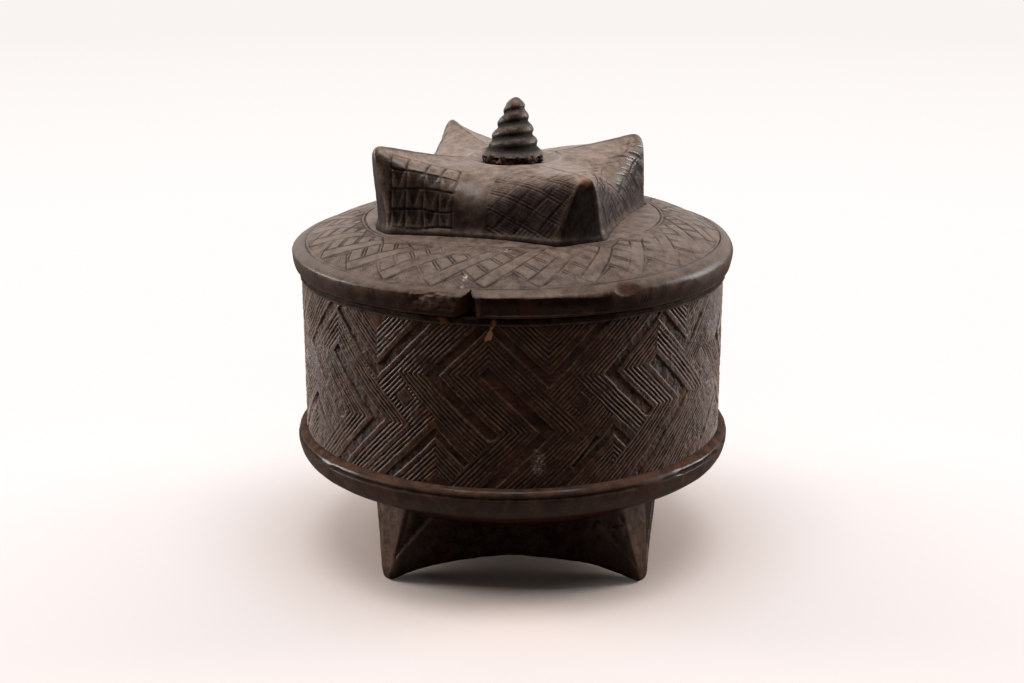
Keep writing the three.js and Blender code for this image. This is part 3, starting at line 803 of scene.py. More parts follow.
def cushion(corners, values):
    # The plan is a square of four sides that draw in at their middles and four flat corner facets that
    # narrow from the root to a pointed tip. The ring share runs over the edges of a unit square, and
    # dividing by its n-norm rounds the shoulder. The power n grows from mid side to the diagonal. Each
    # corner gives its rise, root radius, tip radius, facet half width and the side radius after it.
    sideAlong = np.linspace(-1, 1, values["sideSteps"] + 1)
    facet = np.linspace(0, 1, values["facetSteps"] + 1)[1:-1]
    side = np.repeat(np.arange(4), len(sideAlong) + len(facet))
    onSide = np.tile(np.concatenate([np.ones(len(sideAlong), bool), np.zeros(len(facet), bool)]), 4)
    along = np.tile(np.concatenate([sideAlong, np.ones(len(facet))]), 4)
    share = np.tile(np.concatenate([(sideAlong + 1) / 2, facet]), 4)
    rise, root, tip, facetHalf, sideRadius = np.array(corners, float).T
    first = np.where(onSide, side, side + 1) % 4
    last = (side + 1) % 4
    firstHand = np.where(onSide, 1, -1)
    edgeShare = values["edgeShare"]
    height = np.where(onSide & (along < 0), rise[side], rise[last])
    height = height * np.where(onSide, edgeShare, 1 + (edgeShare - 1) * (2 * share - 1) ** 2)
    cornerness = np.abs(along)
    sharper = (values["cornerPower"] - values["sidePower"]) * cornerness ** values["sharpnessPower"]
    power = values["sidePower"] + sharper
    ring = np.linspace(0, 1, values["rings"] + 1)[:, None]
    acrossTop = np.minimum(1, ring / values["topShare"])
    downSide = np.minimum(1, (1 - ring) / (1 - values["topShare"]))
    norm = (acrossTop ** power + downSide ** power) ** (1 / power)
    out, level = acrossTop / norm, downSide / norm

    def edgePoint(corner, hand):
        # The edge of a corner's facet: its width narrows and its radius goes from root to tip upwards
        halfWidth = facetHalf[corner] * (1 - level) ** values["archPower"] + values["tipHalfWidth"]
        radius = root[corner] + (tip[corner] - root[corner]) * level
        return rotated(radius, hand * halfWidth, corner * quarterTurn)

    x1, y1 = edgePoint(first, firstHand)
    x2, y2 = edgePoint(last, -firstHand)
    middle = (side + 0.5) * quarterTurn
    inward, sideways = rotated(x1 + (x2 - x1) * share, y1 + (y2 - y1) * share, -middle)
    drawn = sideRadius[side] - values["sideDraw"] * level
    pulled = np.where(onSide, drawn + (inward - drawn) * along ** 2, inward)
    x, y = rotated(pulled, sideways, middle)
    lift = (height - values["crown"]) * cornerness ** values["risePower"] * out ** values["ridgePower"]
    points = np.stack([x * out, y * out, (values["crown"] + lift) * level], -1)
    points = easeEdges(points, values["easing"])
    climb = points[..., 2] + np.maximum(pulled[-1:] - pulled * out, 0)
    marks = {"side": side + 0 * ring, "onSide": onSide & (ring >= 0), "out": out, "level": level,
             "sideways": sideways * out, "climb": climb, "cornerness": cornerness + 0 * ring}
    return points, marks


def easeEdges(points, passes):
    # Repeated averages with the neighbours along both grid directions, with the last ring held
    for _ in range(passes):
        points = (2 * points + np.roll(points, 1, 1) + np.roll(points, -1, 1)) / 4
        inner = (2 * points[1:-1] + points[:-2] + points[2:]) / 4
        points = np.concatenate([points[:1], inner, points[-1:]])
    return points


def turnAbout(points, angle):
    # Points turned about the axis, each at its own level
    x, y = rotated(points[..., 0], points[..., 1], angle)
    return np.stack([x, y, points[..., 2]], -1)


def drawnIn(row, share, level):
    # A row of points drawn towards the axis by a share and set at one level
    return row * [share, share, 0] + [0, 0, level]


# The four-footed base

base = {
    # rise, root radius, tip radius, facet half width and side radius after it, from the front right foot
    "feet": [
        (64.6, 104, 117, 12, 98),
        (64.6, 102, 113.5, 12, 94.5),
        (64.6, 103, 113, 12, 98),
        (64.6, 103, 113, 12, 99.5),
    ],
    "crown": 48.8,
    "sideDraw": 9,
    "tipHalfWidth": 1.6,
    "archPower": 0.8,
    "sharpnessPower": 2,
    "sidePower": 7,
    "cornerPower": 26,
    "risePower": 3.2,
    "ridgePower": 2,
    "edgeShare": 1,
    "topShare": 0.62,
    "rings": 112,
    "sideSteps": 150,
    "facetSteps": 20,
    "easing": 5,
    "skirt": 6,
    "flank": ((49, 47), (72, 50), (82, 5)),     # corners of the hatched recess beside each foot
    "flankDepth": 1.6,
    "flankLip": 0.12,
    "pits": (-58, 40, 15, 13),                  # beside the front left foot: centre and half sizes
    "pitDepth": 0.7,
    "hatch": 3.2,
    "toolLevel": 50,
    "grit": ((0.4, 16, 21), (0.16, 4, 22), (0.1, 1.8, 23)),      # noise layers: height, cell size and seed
}


def insideTriangle(x, y, corners):
    # The distance inwards from the nearest of the three sides, less than nothing outside
    depth = np.full(np.shape(x), np.inf)
    middle = np.mean(corners, axis=0)
    for start, end in zip(corners, corners[1:] + corners[:1]):
        run = np.subtract(end, start) / math.dist(start, end)
        across = (x - start[0]) * run[1] - (y - start[1]) * run[0]
        hand = np.sign((middle[0] - start[0]) * run[1] - (middle[1] - start[1]) * run[0])
        depth = np.minimum(depth, hand * across)
    return depth


def makeBase():
    # An upturned cushion, flat where its tips stand, with a skirt that reaches up into the vessel
    points, marks = cushion(base["feet"], base)
    points = turnAbout(points, quarterTurn / 2)
    points[..., 1:] *= -1
    height = points[..., 2] = np.maximum(points[..., 2] + vessel["rootLevel"], 0)
    sideways = marks["sideways"]
    wide = np.abs(sideways)
    onFlank = marks["onSide"] & (marks["out"] > 0.8)
    deep = insideTriangle(wide, height, base["flank"])
    recess = smoothStep(deep - 0.4, 0.8) * onFlank * np.where(sideways < 0, 0.2, 1)
    hatch = np.abs(((wide + 0.8 * height) / base["hatch"]) % 1 - 0.5) * 2
    lip = peak(deep, -0.8, 1.1) * onFlank * smoothStep(height - 8, 6)
    centre, middle, halfWide, halfHigh = base["pits"]
    pitted = limit(1.4 - np.hypot((sideways - centre) / halfWide, (height - middle) / halfHigh)) * onFlank
    pits = pitted * limit(softNoise(points, 2.4, 24) * 2.2 - 0.5)
    flank = base["flankDepth"] * recess * (0.65 + 0.35 * hatch)
    relief = uneven(points, base["grit"]) - flank - base["pitDepth"] * pits + base["flankLip"] * lip
    points = points + surfaceNormals(points) * (relief * smoothStep(height - 2, 3))[..., None]
    # Painted shade: the middle of each side darkens towards the arch's edge, the corner facets darken
    # downwards and the underside is dark all over
    arch = smoothStep(marks["level"] - 0.22, 0.5) * limit(1.5 - wide / 62)
    paintedShade = np.where(marks["onSide"], arch, 0.3 * marks["level"])
    paintedShade = np.where(marks["out"] < 0.8, 0.9, paintedShade)
    ridge = 0.6 * smoothStep(marks["cornerness"] - 0.95, 0.06) * marks["out"] ** 8
    ridge = (ridge + 0.22 * lip + 0.35 * pitted) * np.where(points[..., 0] > 0, 0.6, 1)
    skirt = points[-1:] + [0, 0, base["skirt"]]
    makePoled("vessel_base", np.concatenate([points, skirt, drawnIn(skirt, 0, skirt[0, 0, 2])]), {
        "ridge": ridge * (1 - pits),
        "cut": limit(0.8 * recess + 0.95 * paintedShade + pits),
        "fresh": 0.35 * smoothStep(points[..., 2] - base["toolLevel"], 5) * (1 - paintedShade),
    }, material=turnedWood, **ofVessel)


makeBase()
print("vessel made")


# Lid: rim with its broken notch, seat, collar and hollow

def cutOutOfTrue(points):
    # The crease and all above it stand higher towards one side, in proportion to the distance across
    angle = lid["domeLiftTurn"]
    share = limit((points[..., 2] - lid["rimWidest"]) / (lid["creaseLevel"] - lid["rimWidest"]))
    across = points[..., 0] * math.cos(angle) + points[..., 1] * math.sin(angle)
    points[..., 2] += lid["domeLift"] * share * across / lid["creaseRadius"]
    return points


def domeLevel(radius):
    # Rises from the crease with a slight bow, then nearly level to the boss
    share = limit((lid["creaseRadius"] - radius) / (lid["creaseRadius"] - lid["plateauRadius"]))
    plateau = limit((lid["plateauRadius"] - radius) / (lid["plateauRadius"] - lid["bossSideRadius"]))
    bowed = lid["domeCrown"] * np.sin(share * math.pi)
    return lid["creaseLevel"] + lid["domeRise"] * share + bowed + lid["plateauRise"] * plateau


rim = {
    "frontStep": math.radians(0.22),
    "backStep": math.radians(1.2),
    "frontHalf": math.radians(40),
    "step": 1.1,
    "insideStep": 8,
    "skinThickness": 2.4,
    "ceiling": 0.8,                      # least wood over the hollow
    "underDome": (118, 106, lid["plateauRadius"], 80),     # radii along the dome's underside
    # noise layers: height, cell size and seed
    "handmade": ((0.5, 26, 41), (0.22, 7, 42)),
    "crumble": ((0.9, 5, 32), (0.8, 2.2, 33)),
    "splitGrain": ((0.5, 9, 35), (0.25, 2.5, 36)),
    # the notch: turn from the front to the right, reach of its mouth, widths there, roots, peak
    "notchTurn": math.radians(-10.2),
    "notchMouth": 146,
    "notchLeft": 25,
    "notchRight": 10,
    "notchLowRoot": 126.5,
    "notchHighRoot": 125,
    "notchPeak": 1,                      # above the crease
    "worn": (math.radians(-24.8), math.radians(-13.5), 4.5, 16.5),     # from, to, low, high
    "split": (math.radians(-7.0), math.radians(22.5), 1.8, 12.6),
    "splitRadius": 136.4,
    "splitSag": 1.4,
    "dent": (math.radians(28), 14.5, 8.5, 4.6),          # turn, height, half width, half height
    "dentDepth": 2,
    "nicks": (math.radians(31.3), math.radians(34.6), 5, 9),
    "nickPitch": 2.4,
    "nickDepth": 0.6,
}


def rimNotch(points, turn, rag):
    # A wedge whose section is a triangle with its point inwards. Its width shrinks to none at its peak.
    radius = np.hypot(points[..., 0], points[..., 1])
    top = lid["creaseLevel"] + rim["notchPeak"]
    share = limit((top - points[..., 2]) / (top - lid["collarLevel"]), 0.01)
    offset = (turn - rim["notchTurn"]) * radius + 0.35 * rag
    right = rim["notchRight"] * np.minimum(1.8 * share, 1.25 - 0.4 * share)
    half = np.where(offset < 0, rim["notchLeft"] * share, right)
    root = rim["notchHighRoot"] + (rim["notchLowRoot"] - rim["notchHighRoot"]) * share
    face = root + (rim["notchMouth"] - root) * np.abs(offset) / half
    return np.maximum(radius - face, 0) * (points[..., 2] < top), offset


def rimBreaks(points, turn):
    # How far the broken places cut in from the whole rim, and what they show
    height = points[..., 2] - lid["seatLevel"]
    radius = np.hypot(points[..., 0], points[..., 1])
    rag = softNoise(points, 3.5, 31)
    notch, offset = rimNotch(points, turn, rag)
    left, right, low, high = rim["worn"]
    wornShare = between(turn, left, right, 0.09, 0.05) * between(height, low, high, 3, 4)
    worn = limit(0.9 + uneven(points, rim["crumble"]), 0, 3) * wornShare
    left, right, low, high = rim["split"]
    sag = rim["splitSag"] * limit((turn - left) / (right - left) * 2 - 1)
    splitTop = high - sag + 0.9 * softNoise(points, 12, 34) + 0.3 * rag
    splitShare = between(turn, left, right, 0.015, 0.06)
    face = rim["splitRadius"] + uneven(points, rim["splitGrain"])
    flat = splitShare * between(height, low, splitTop, 0.8, 0.9)
    split = np.maximum(radius - face, 0) * flat
    ledge = splitShare * peak(height, splitTop + 2.6, 2.2, 1.25)
    centre, middle, halfWide, halfHigh = rim["dent"]
    dent = limit(1 - ((turn - centre) * radius / halfWide) ** 2 - ((height - middle) / halfHigh) ** 2)
    left, right, low, high = rim["nicks"]
    inNicks = (turn > left) & (turn < right) & (height > low) & (height < high)
    slant = ((turn - left) * radius - 0.5 * (height - low)) / rim["nickPitch"]
    nicks = peak(slant, np.round(slant), 0.2) * inNicks
    inNotch = limit(notch / 2)
    # Painted shade on the notch's left wall and a painted highlight on its right wall, each over raw wood
    # colour
    litNotchSide = offset >= 0.4
    streaks = limit(softNoise(points * [1, 1, 2.5], 4, 37) * 1.8) * wornShare
    # Painted shade under the ledge, and a painted highlight on the split face below it
    shadeUnderLedge = flat * smoothStep(height - splitTop + 5.5, 3)
    blotches = limit(softNoise(points, 6, 38) * 1.5)
    shadedNotchWall, litNotchWall = inNotch * ~litNotchSide, inNotch * litNotchSide
    inward = np.maximum.reduce([notch, worn, split, rim["dentDepth"] * dent, rim["nickDepth"] * nicks])
    return inward, {
        "fresh": 0.35 * shadedNotchWall + 0.45 * flat * blotches + 0.2 * limit(worn) + 0.35 * dent,
        "ridge": 0.9 * ledge + 0.9 * streaks + 0.8 * litNotchWall + 0.25 * flat * (1 - shadeUnderLedge),
        "cut": limit(0.1 * flat + 0.5 * shadeUnderLedge + 0.6 * shadedNotchWall + 1.1 * dent + nicks
                     + 0.5 * wornShare * (1 - streaks)),
        "bare": 0.2 * litNotchWall,
    }


def makeRim():
    # A turned profile from the hollow over the collar, the seat and the roll to the dome's underside
    seat, collar, crease = lid["seatLevel"], lid["collarRadius"], lid["creaseRadius"]
    skin = rim["skinThickness"]
    underDome = np.array([crease - 5, *rim["underDome"], lid["bossSideRadius"], 0.0])
    hollow = lid["hollowHeight"] * np.sqrt(limit(1 - (underDome / lid["hollowRadius"]) ** 2))
    underLevel = np.maximum(domeLevel(underDome) - skin, lid["collarLevel"] + hollow + rim["ceiling"])
    inside = profileLine([
        bow((0, lid["collarLevel"]), lid["hollowRadius"], lid["hollowHeight"], quarterTurn, 0, 24),
        (collar - 0.8, lid["collarLevel"]),
        (collar, lid["collarLevel"] + 0.8),
    ], rim["insideStep"])
    outside = profileLine([
        (collar, seat),
        bow((lid["rimSeatRadius"], lid["rimWidest"]), lid["rimRadius"] - lid["rimSeatRadius"],
            lid["rimWidest"] - seat, -quarterTurn, 0, 14),
        bow((crease, lid["rimWidest"]), lid["rimRoll"], lid["creaseLevel"] - lid["rimWidest"],
            0, quarterTurn, 14),
        (crease - 1.0, lid["creaseLevel"] - 0.9),
        (crease - 3.0, lid["creaseLevel"] - skin),
    ], rim["step"])
    under = profileLine([np.stack([underDome, underLevel], -1)], rim["insideStep"])
    line = np.concatenate([inside, outside, under])
    backCount = int((fullTurn - 2 * rim["frontHalf"]) / rim["backStep"])
    turn = np.concatenate([
        np.arange(-rim["frontHalf"], rim["frontHalf"], rim["frontStep"]),
        np.linspace(rim["frontHalf"], fullTurn - rim["frontHalf"], backCount + 1)[:-1]])
    radius, level = line[:, :1], line[:, 1:]
    points = aroundAxis(radius, turn - quarterTurn, level)
    proud = smoothStep(radius - 128, 6) * (level > seat - 0.1)
    outer = (radius > collar + 0.1) & (level > seat - 0.1)
    pushOut(points, uneven(points, rim["handmade"]) * proud, np.maximum(radius, 1))
    inward, marks = rimBreaks(points, (turn + math.pi) % fullTurn - math.pi)
    pushOut(points, -inward * outer, np.maximum(radius, 1))
    height = points[..., 2] - seat
    marks = {key: value * outer for key, value in marks.items()}
    # Painted highlight on the upper part of the rim and along its lowest edge, and painted shade on the lower
    # part of its face
    rubbed = (0.3 * smoothStep(height - 9, 8) + 0.4 * peak(height, 0.8, 1.0)) * proud * (inward < 0.2)
    marks["ridge"] = limit(marks["ridge"] + rubbed)
    marks["cut"] = limit(marks["cut"] + 0.2 * proud * smoothStep(8 - height, 8) * (height > 1.6))
    makePoled("lid_rim", cutOutOfTrue(points), marks, material=polishedWood, **ofLid)


makeRim()


# Lid: incised dome

band = {
    "columns": 860,              # cells along each half
    "inner": 60,
    "darkFromRadius": 80,            # inside it the dome is darker, which fades out beyond it
    "denseFrom": 84,
    "frontReach": (-0.1, 0.55, 7),   # where the inner ring nears the boss: turn, width, by how much
    "denseStep": 0.56,
    "looseStep": 4,
    "repeats": 26,
    "tooth": 28,                 # one repeat in the plait's own units
    "lineWidth": 0.75,
    "lineDepth": 0.95,
    "lineApart": 0.9,            # half the gap of a double line
    "border": 1.5,
    "ringWidth": 1.0,
    "thickness": 3.2,
    "outerTooth": 10.5,
    "innerTooth": 8,
    "hatch": 2.2,
    "openDip": 1.6,              # how far the outer edge sinks into the crease
    "fade": ((0.6, 18, 53), (0.5, 6, 59)),           # noise layers: height, cell size and seed
    "heave": ((0.12, 9, 54), (0.4, 30, 55)),
    "chalk": ((-27.1, -119.7, 2.5), (-28.6, -128, 1.6), (-3.3, -92, 3.5), (-12, -97, 3), (30, -101, 3)),
}


def bandRelief(turn, radius, points):
    # Plaited strips: two sets of diagonal double lines, each hidden where the other set lies on top,
    # between two rows of hatched teeth
    centre, wide, nearer = band["frontReach"]
    width, depth, border, tooth = band["lineWidth"], band["lineDepth"], band["border"], band["tooth"]
    reach = lid["creaseRadius"] - lid["plateauRadius"] + nearer * np.exp(-((turn - centre) / wide) ** 2)
    around = turn * band["repeats"] / fullTurn * tooth + 0.9 * softNoise(points, 20, 51)
    inward = lid["creaseRadius"] - radius + 0.7 * softNoise(points, 20, 52)
    strip = tooth / (2 * rootTwo)
    rising = (around + inward) / rootTwo / strip
    falling = (around - inward) / rootTwo / strip
    i, j = np.floor(rising), np.floor(falling)
    risingOver = ((i + j) % 4 < 2) ^ (np.floor((i - j) / 2) % 2 == 0)

    def doubleLine(value):
        # Two scratches, one to each side of every whole value
        gap = np.abs(value - np.round(value)) * strip
        return scratch(gap - band["lineApart"], width, depth)

    def lineRow(value, share):
        # Scratches a hatch apart, at a share of the depth
        return scratch((value % band["hatch"]) - band["hatch"] / 2, 0.8 * width, share * depth)

    lines = np.where(risingOver, doubleLine(rising), doubleLine(falling))
    saw = np.abs(((around / tooth) % 1) - 0.5) * 2
    outerEdge = inward - border - band["outerTooth"] * saw
    innerEdge = reach - border - inward - band["innerTooth"] * (1 - saw)
    inBand = (inward > border) & (inward < reach - border)
    teeth = ((outerEdge < 0) | (innerEdge < 0)) & inBand
    hatch = np.minimum(lineRow(around + inward, 0.32), lineRow(around - inward, 0.25))
    relief = np.where(teeth, hatch - 0.06, lines)
    relief = np.minimum.reduce([relief, scratch(outerEdge, width, depth), scratch(innerEdge, width, depth)])
    relief = np.where(inBand, relief, 0)
    for place, ringWidth, ringDepth in ((0, band["ringWidth"], 1.0), (1.8, width, 0.5 * depth),
                                        (reach, band["ringWidth"], 0.9), (reach - 2.2, width, 0.6 * depth)):
        relief = np.minimum(relief, scratch(inward - place, ringWidth, ringDepth))
    return relief, teeth


def makeBand():
    # The relief stands on the dome's level. The two halves have a back of their own.
    dense = np.arange(lid["creaseRadius"] + 0.6, band["denseFrom"], -band["denseStep"])
    loose = np.arange(band["denseFrom"], band["inner"], -band["looseStep"])
    radius = np.concatenate([dense, loose])[:, None]
    turn = np.linspace(-math.pi, math.pi, 2 * band["columns"] + 1)
    plain = np.stack(np.broadcast_arrays(
        radius * np.sin(turn), -radius * np.cos(turn), domeLevel(radius)), -1)
    relief, teeth = bandRelief(turn, radius, plain)
    relief = relief * limit(0.66 + uneven(plain, band["fade"]), 0.08, 1.2)
    darkTowardBoss = np.exp(-np.maximum(radius - band["darkFromRadius"], 0) / 9) * limit(0.45 + softNoise(plain, 7, 50))
    cut = limit(-relief / 0.6 + 0.04 * teeth + 0.6 * darkTowardBoss)
    chalk = 0.14 * cut * limit(softNoise(plain, 16, 57) + 0.2)
    grains = softNoise(plain, 2, 56)
    for x, y, size in band["chalk"]:
        away = np.hypot(plain[..., 0] - x, plain[..., 1] - y) / size
        chalk = np.maximum(chalk, limit(1.2 - away + 0.6 * grains) * limit(0.15 + 1.2 * cut))
    marks = {"cut": cut, "ridge": 0.4 * limit(softNoise(plain, 12, 58)) * (cut < 0.1), "chalk": chalk}
    top = plain.copy()
    top[..., 2] += relief + uneven(plain, band["heave"])
    top[..., 2] -= band["openDip"] * limit((radius - lid["creaseRadius"] + 1.0) / 1.6)
    bottom = plain[[-1, 0]] - [0, 0, band["thickness"]]
    points = cutOutOfTrue(np.concatenate([top, bottom]))
    rows, columns = points.shape[0], band["columns"] + 1
    ends = np.arange(rows) * columns
    faces = [gridFaces(rows, columns, wrapRows=True), ends[::-1][None], (ends + columns - 1)[None]]
    for half in range(2):
        take = slice(half * band["columns"], half * band["columns"] + columns)
        makePiece(f"lid_dome_{half + 1}", points[:, take], faces, material=domeWood, flatFaces=(1, 2),
                  attributes={key: values[:, take] for key, values in marks.items()}, **ofLid)


makeBand()


# Lid: the horned boss

boss = {
    "turn": math.radians(-63),
    # rise, root radius, tip radius, facet half width and side radius after it, from the front right horn
    "horns": [
        (39.2, 88, 96.48, 14.2, 71.02),
        (45, 90.02, 94.27, 13, 68.03),
        (48.6, 84.92, 94.46, 10.4, 67.03),
        (51.3, 89.32, 95.52, 6.5, 70.49),
    ],
    "crown": 35.5,
    "sideDraw": 4,
    "tipHalfWidth": 1.2,
    "archPower": 0.6,
    "sharpnessPower": 2,
    "sidePower": 3.4,
    "cornerPower": 22,
    "risePower": 3,
    "ridgePower": 1.8,
    "edgeShare": 0.96,
    "topShare": 0.62,
    "rings": 150,
    "sideSteps": 136,
    "facetSteps": 20,
    "easing": 13,
    "flare": (2.2, 2.0),         # how far the foot spreads into the dome, and how fast that dies out upwards
    "skirt": 5,
    "skirtShare": 0.72,          # of the foot's radius, where the underside meets the ceiling
    "ceiling": 218.8,            # the underside over the lid's hollow
    "seatDepth": 3.3,
    "seatRadius": 19.3,
    "dishWidth": 12,
    # the squares beside the front left horn: column lines sideways, row lines up from the root
    "columns": (-54.9, -45.4, -34, -24.6, -15.8),
    "rows": (1.8, 12.6, 26.4, 39, 52),
    "rowSlope": 0.055,
    "rowPivot": -35,
    "hatch": 2.1,
    "sinking": (0.47, 1.1, 12.5, 6, 8.4),        # the lattice's lines: slope, stretch, pitch and places
    "rising": (-1.25, 1.6, 11, 5),
    "lineWidth": 0.85,
    "lineDepth": 1.25,
    "grit": ((0.35, 18, 61), (0.12, 4, 62)),     # noise layers: height, cell size and seed
    "paintedShade": 24,                  # how far the painted shade reaches up the sides
    "chips": ((42.5, -85, 257, 4.5), (-84, -43, 268, 4.5)),      # place and size of the worn horn tips
}


def squares(across, climb):
    # Squares with a hatched triangle hanging from each upper line
    width, depth = boss["lineWidth"], boss["lineDepth"]
    columns, rows = np.array(boss["columns"]), np.array(boss["rows"])
    climb = climb - boss["rowSlope"] * (across - boss["rowPivot"])
    inside = (across > columns[0] - 0.5) & (across < columns[-1] + 0.5) & (climb > 0) & (climb < rows[-1])
    relief = np.minimum.reduce([scratch(across - place, width, depth) for place in columns]
                               + [scratch(climb - place, width, depth) for place in rows])
    column = limit(np.searchsorted(columns, across), 1, len(columns) - 1)
    row = limit(np.searchsorted(rows, climb), 1, len(rows) - 1)
    wide = columns[column] - columns[column - 1]
    middle = (columns[column] + columns[column - 1]) / 2
    fromTop = (rows[row] - climb) / (rows[row] - rows[row - 1])
    inTriangle = 1 - fromTop - 2 * np.abs(across - middle) / wide * 1.1
    dug = smoothStep(inTriangle - 0.12, 0.15) * (row < 4) * np.where((row + column) % 2 == 0, 1, 0.45)
    relief = relief - dug * (0.85 + 0.3 * np.cos(fullTurn * (across + climb) / boss["hatch"]))
    return np.where(inside, relief, 0), np.where(inside, 0.9 * dug, 0)


def lattice(across, climb):
    # Two sets of thin slanting lines that cross, with the gaps hatched one way and the other in turn
    width, depth = 0.7 * boss["lineWidth"], 0.7 * boss["lineDepth"]
    slope, stretch, pitch, place, second = boss["sinking"]
    otherSlope, otherStretch, otherPitch, otherPlace = boss["rising"]
    sinking = (climb + slope * across) / stretch
    rising = (climb + otherSlope * across) / otherStretch
    relief = np.minimum.reduce([
        scratch((sinking % pitch) - place, width, depth),
        scratch((rising % otherPitch) - otherPlace, width, 0.8 * depth),
        scratch((sinking % pitch) - second, width, 0.7 * depth)])
    gap = (np.floor((sinking - place) / pitch) + np.floor((rising - otherPlace) / otherPitch)) % 2
    dug = 0.5 + 0.5 * np.cos(fullTurn * np.where(gap == 0, sinking / boss["hatch"], rising / 2.5))
    return relief - 0.3 * dug, 0.45 * dug + 0.1


def longCuts(across, climb, points):
    # Long shallow cuts that fan out down the side: two sets of noise, each stretched along its own direction
    bend = 0.9 * across + 0.012 * (climb - 10) ** 2 + 0.55 * climb + 1.2 * softNoise(points, 14, 63)
    other = 0.9 * climb - 0.4 * across + 1.2 * softNoise(points, 14, 64)
    flat = 0 * bend
    falling = softNoise(np.stack([bend, 0.1 * other, flat], -1), 1.5, 60)
    crossing = softNoise(np.stack([0.1 * bend, other, flat], -1), 1.9, 69)
    lines = np.maximum(limit(1.8 * falling - 0.15), limit(1.8 * crossing - 0.5))
    return -0.7 * lines, 0.5 * lines


def bossRelief(marks, points):
    # The carving of each side: squares beside one horn and a lattice beside the other, or long cuts
    across = marks["sideways"] + 1.1 * softNoise(points, 14, 65)
    climb = marks["climb"] + 1.1 * softNoise(points, 14, 66)
    evenSide = marks["side"] % 2 == 0
    low, lowShade = longCuts(across, climb, points)
    cutArea = between(climb, 1.5, 50, 2, 16)
    cutArea = cutArea * np.where(marks["side"] == 2, smoothStep(marks["out"] - 0.93, 0.05), 1)
    left, leftShade = squares(across, climb)
    right, rightShade = lattice(across, climb)
    onRight = across > 0
    latticeArea = smoothStep(across - 6, 1.5) * smoothStep(50 - climb, 6)
    lineArea = smoothStep(climb - 1.2, 1) * np.where(onRight, latticeArea, 1)
    area = np.where(evenSide, cutArea, lineArea)
    area = area * smoothStep(0.97 - marks["cornerness"], 0.05) * marks["onSide"]
    relief = np.where(evenSide, low, np.where(onRight, right, left)) * area
    shade = np.where(evenSide, lowShade, np.where(onRight, rightShade, leftShade)) * area
    return relief, limit(shade - relief)


def makeBoss():
    # A cushion with a dish round the finial, on a foot that flares into the dome
    points, marks = cushion(boss["horns"], boss)
    points = turnAbout(points, boss["turn"])
    onSide, out, climb = marks["onSide"], marks["out"], marks["climb"]
    reach = np.hypot(points[..., 0], points[..., 1])
    fromSeat = (reach - boss["seatRadius"]) / boss["dishWidth"]
    dish = boss["crown"] - boss["seatDepth"] + np.maximum(0, fromSeat) * boss["seatDepth"]
    points[..., 2] = np.where(fromSeat < 1, np.minimum(points[..., 2], dish), points[..., 2])
    relief, shade = bossRelief(marks, points)
    grit = uneven(points, boss["grit"])
    fade = limit(0.85 + 0.5 * softNoise(points, 20, 67), 0.3, 1.1)
    spread, dying = boss["flare"]
    flare = spread * np.exp(-climb / dying)
    points = points + surfaceNormals(points) * (relief * fade + grit + flare)[..., None]
    points[..., 2] += lid["bossRoot"]
    ring = peak(fromSeat * boss["dishWidth"], boss["dishWidth"] - 1, 3)
    # Painted shade on the corner facets, darkest on the front right horn's facet
    paintedFacetShade = np.where(marks["side"] == 3, 1.0, 0.3) * (~onSide & (marks["level"] < 0.97) & (out > 0.9))
    ridge = 0.6 * smoothStep(marks["cornerness"] - 0.94, 0.08) * smoothStep(out - 0.5, 0.5)
    ridge = np.where(onSide, ridge, 0.2 * ridge) * (1 - paintedFacetShade)
    # Painted highlight: lighter colour on the raised ground of the squares, away from their cuts
    onSquares = (marks["side"] == 3) & onSide & (marks["sideways"] < boss["columns"][-1])
    ridge = ridge + 0.3 * onSquares * limit(1 - 3 * shade) * (climb > boss["rows"][0])
    # Painted shade: the sides darken towards the foot, most along the root
    paintedFootShade = (0.6 * smoothStep(boss["paintedShade"] - climb, boss["paintedShade"]) + 0.4 * np.exp(-climb / 2.5)) * (out > 0.5)
    bare = np.zeros(ridge.shape)
    chipNoise = 0.5 * softNoise(points, 2, 68)
    for x, y, z, size in boss["chips"]:
        away = np.linalg.norm(points - [x, y, z], axis=-1) / size
        bare = np.maximum(bare, limit(1.2 - away + chipNoise))
    foot = points[-1:]
    under = [foot - [0, 0, boss["skirt"]], drawnIn(foot, boss["skirtShare"], boss["ceiling"]),
             drawnIn(foot, 0, boss["ceiling"])]
    makePoled("lid_boss", np.concatenate([points, *under]), {
        "ridge": limit(ridge + 0.9 * ring),
        "cut": limit(1.2 * shade * fade + paintedFacetShade + paintedFootShade) * (1 - bare),
        "fresh": bare, "bare": 0.4 * bare, "chalk": 0.25 * ring,
    }, material=dustyWood, **ofLid)


makeBoss()
print("lid made")


# Finial and its bed of pitch

finial = {
    "radius": 18.7,
    "height": 35.4,
    "topRadius": 5.9,
    "capHeight": 4.4,
    "lean": 2.1,
    "footRing": 4.1,
    "footSpread": 0.7,
    "pitch": 8.2,
    "depth": 1.75,
    "tilt": 2.5,
    "segments": 150,
    "rows": 200,
    "tenonRadius": 5.5,
    "chip": (0.3, -4.5, 33, 2.2),      # place and size
    "handmade": ((0.35, 9, 71), (0.22, 3, 72), (0.1, 1.4, 73)),      # noise layers: height, size, seed
}


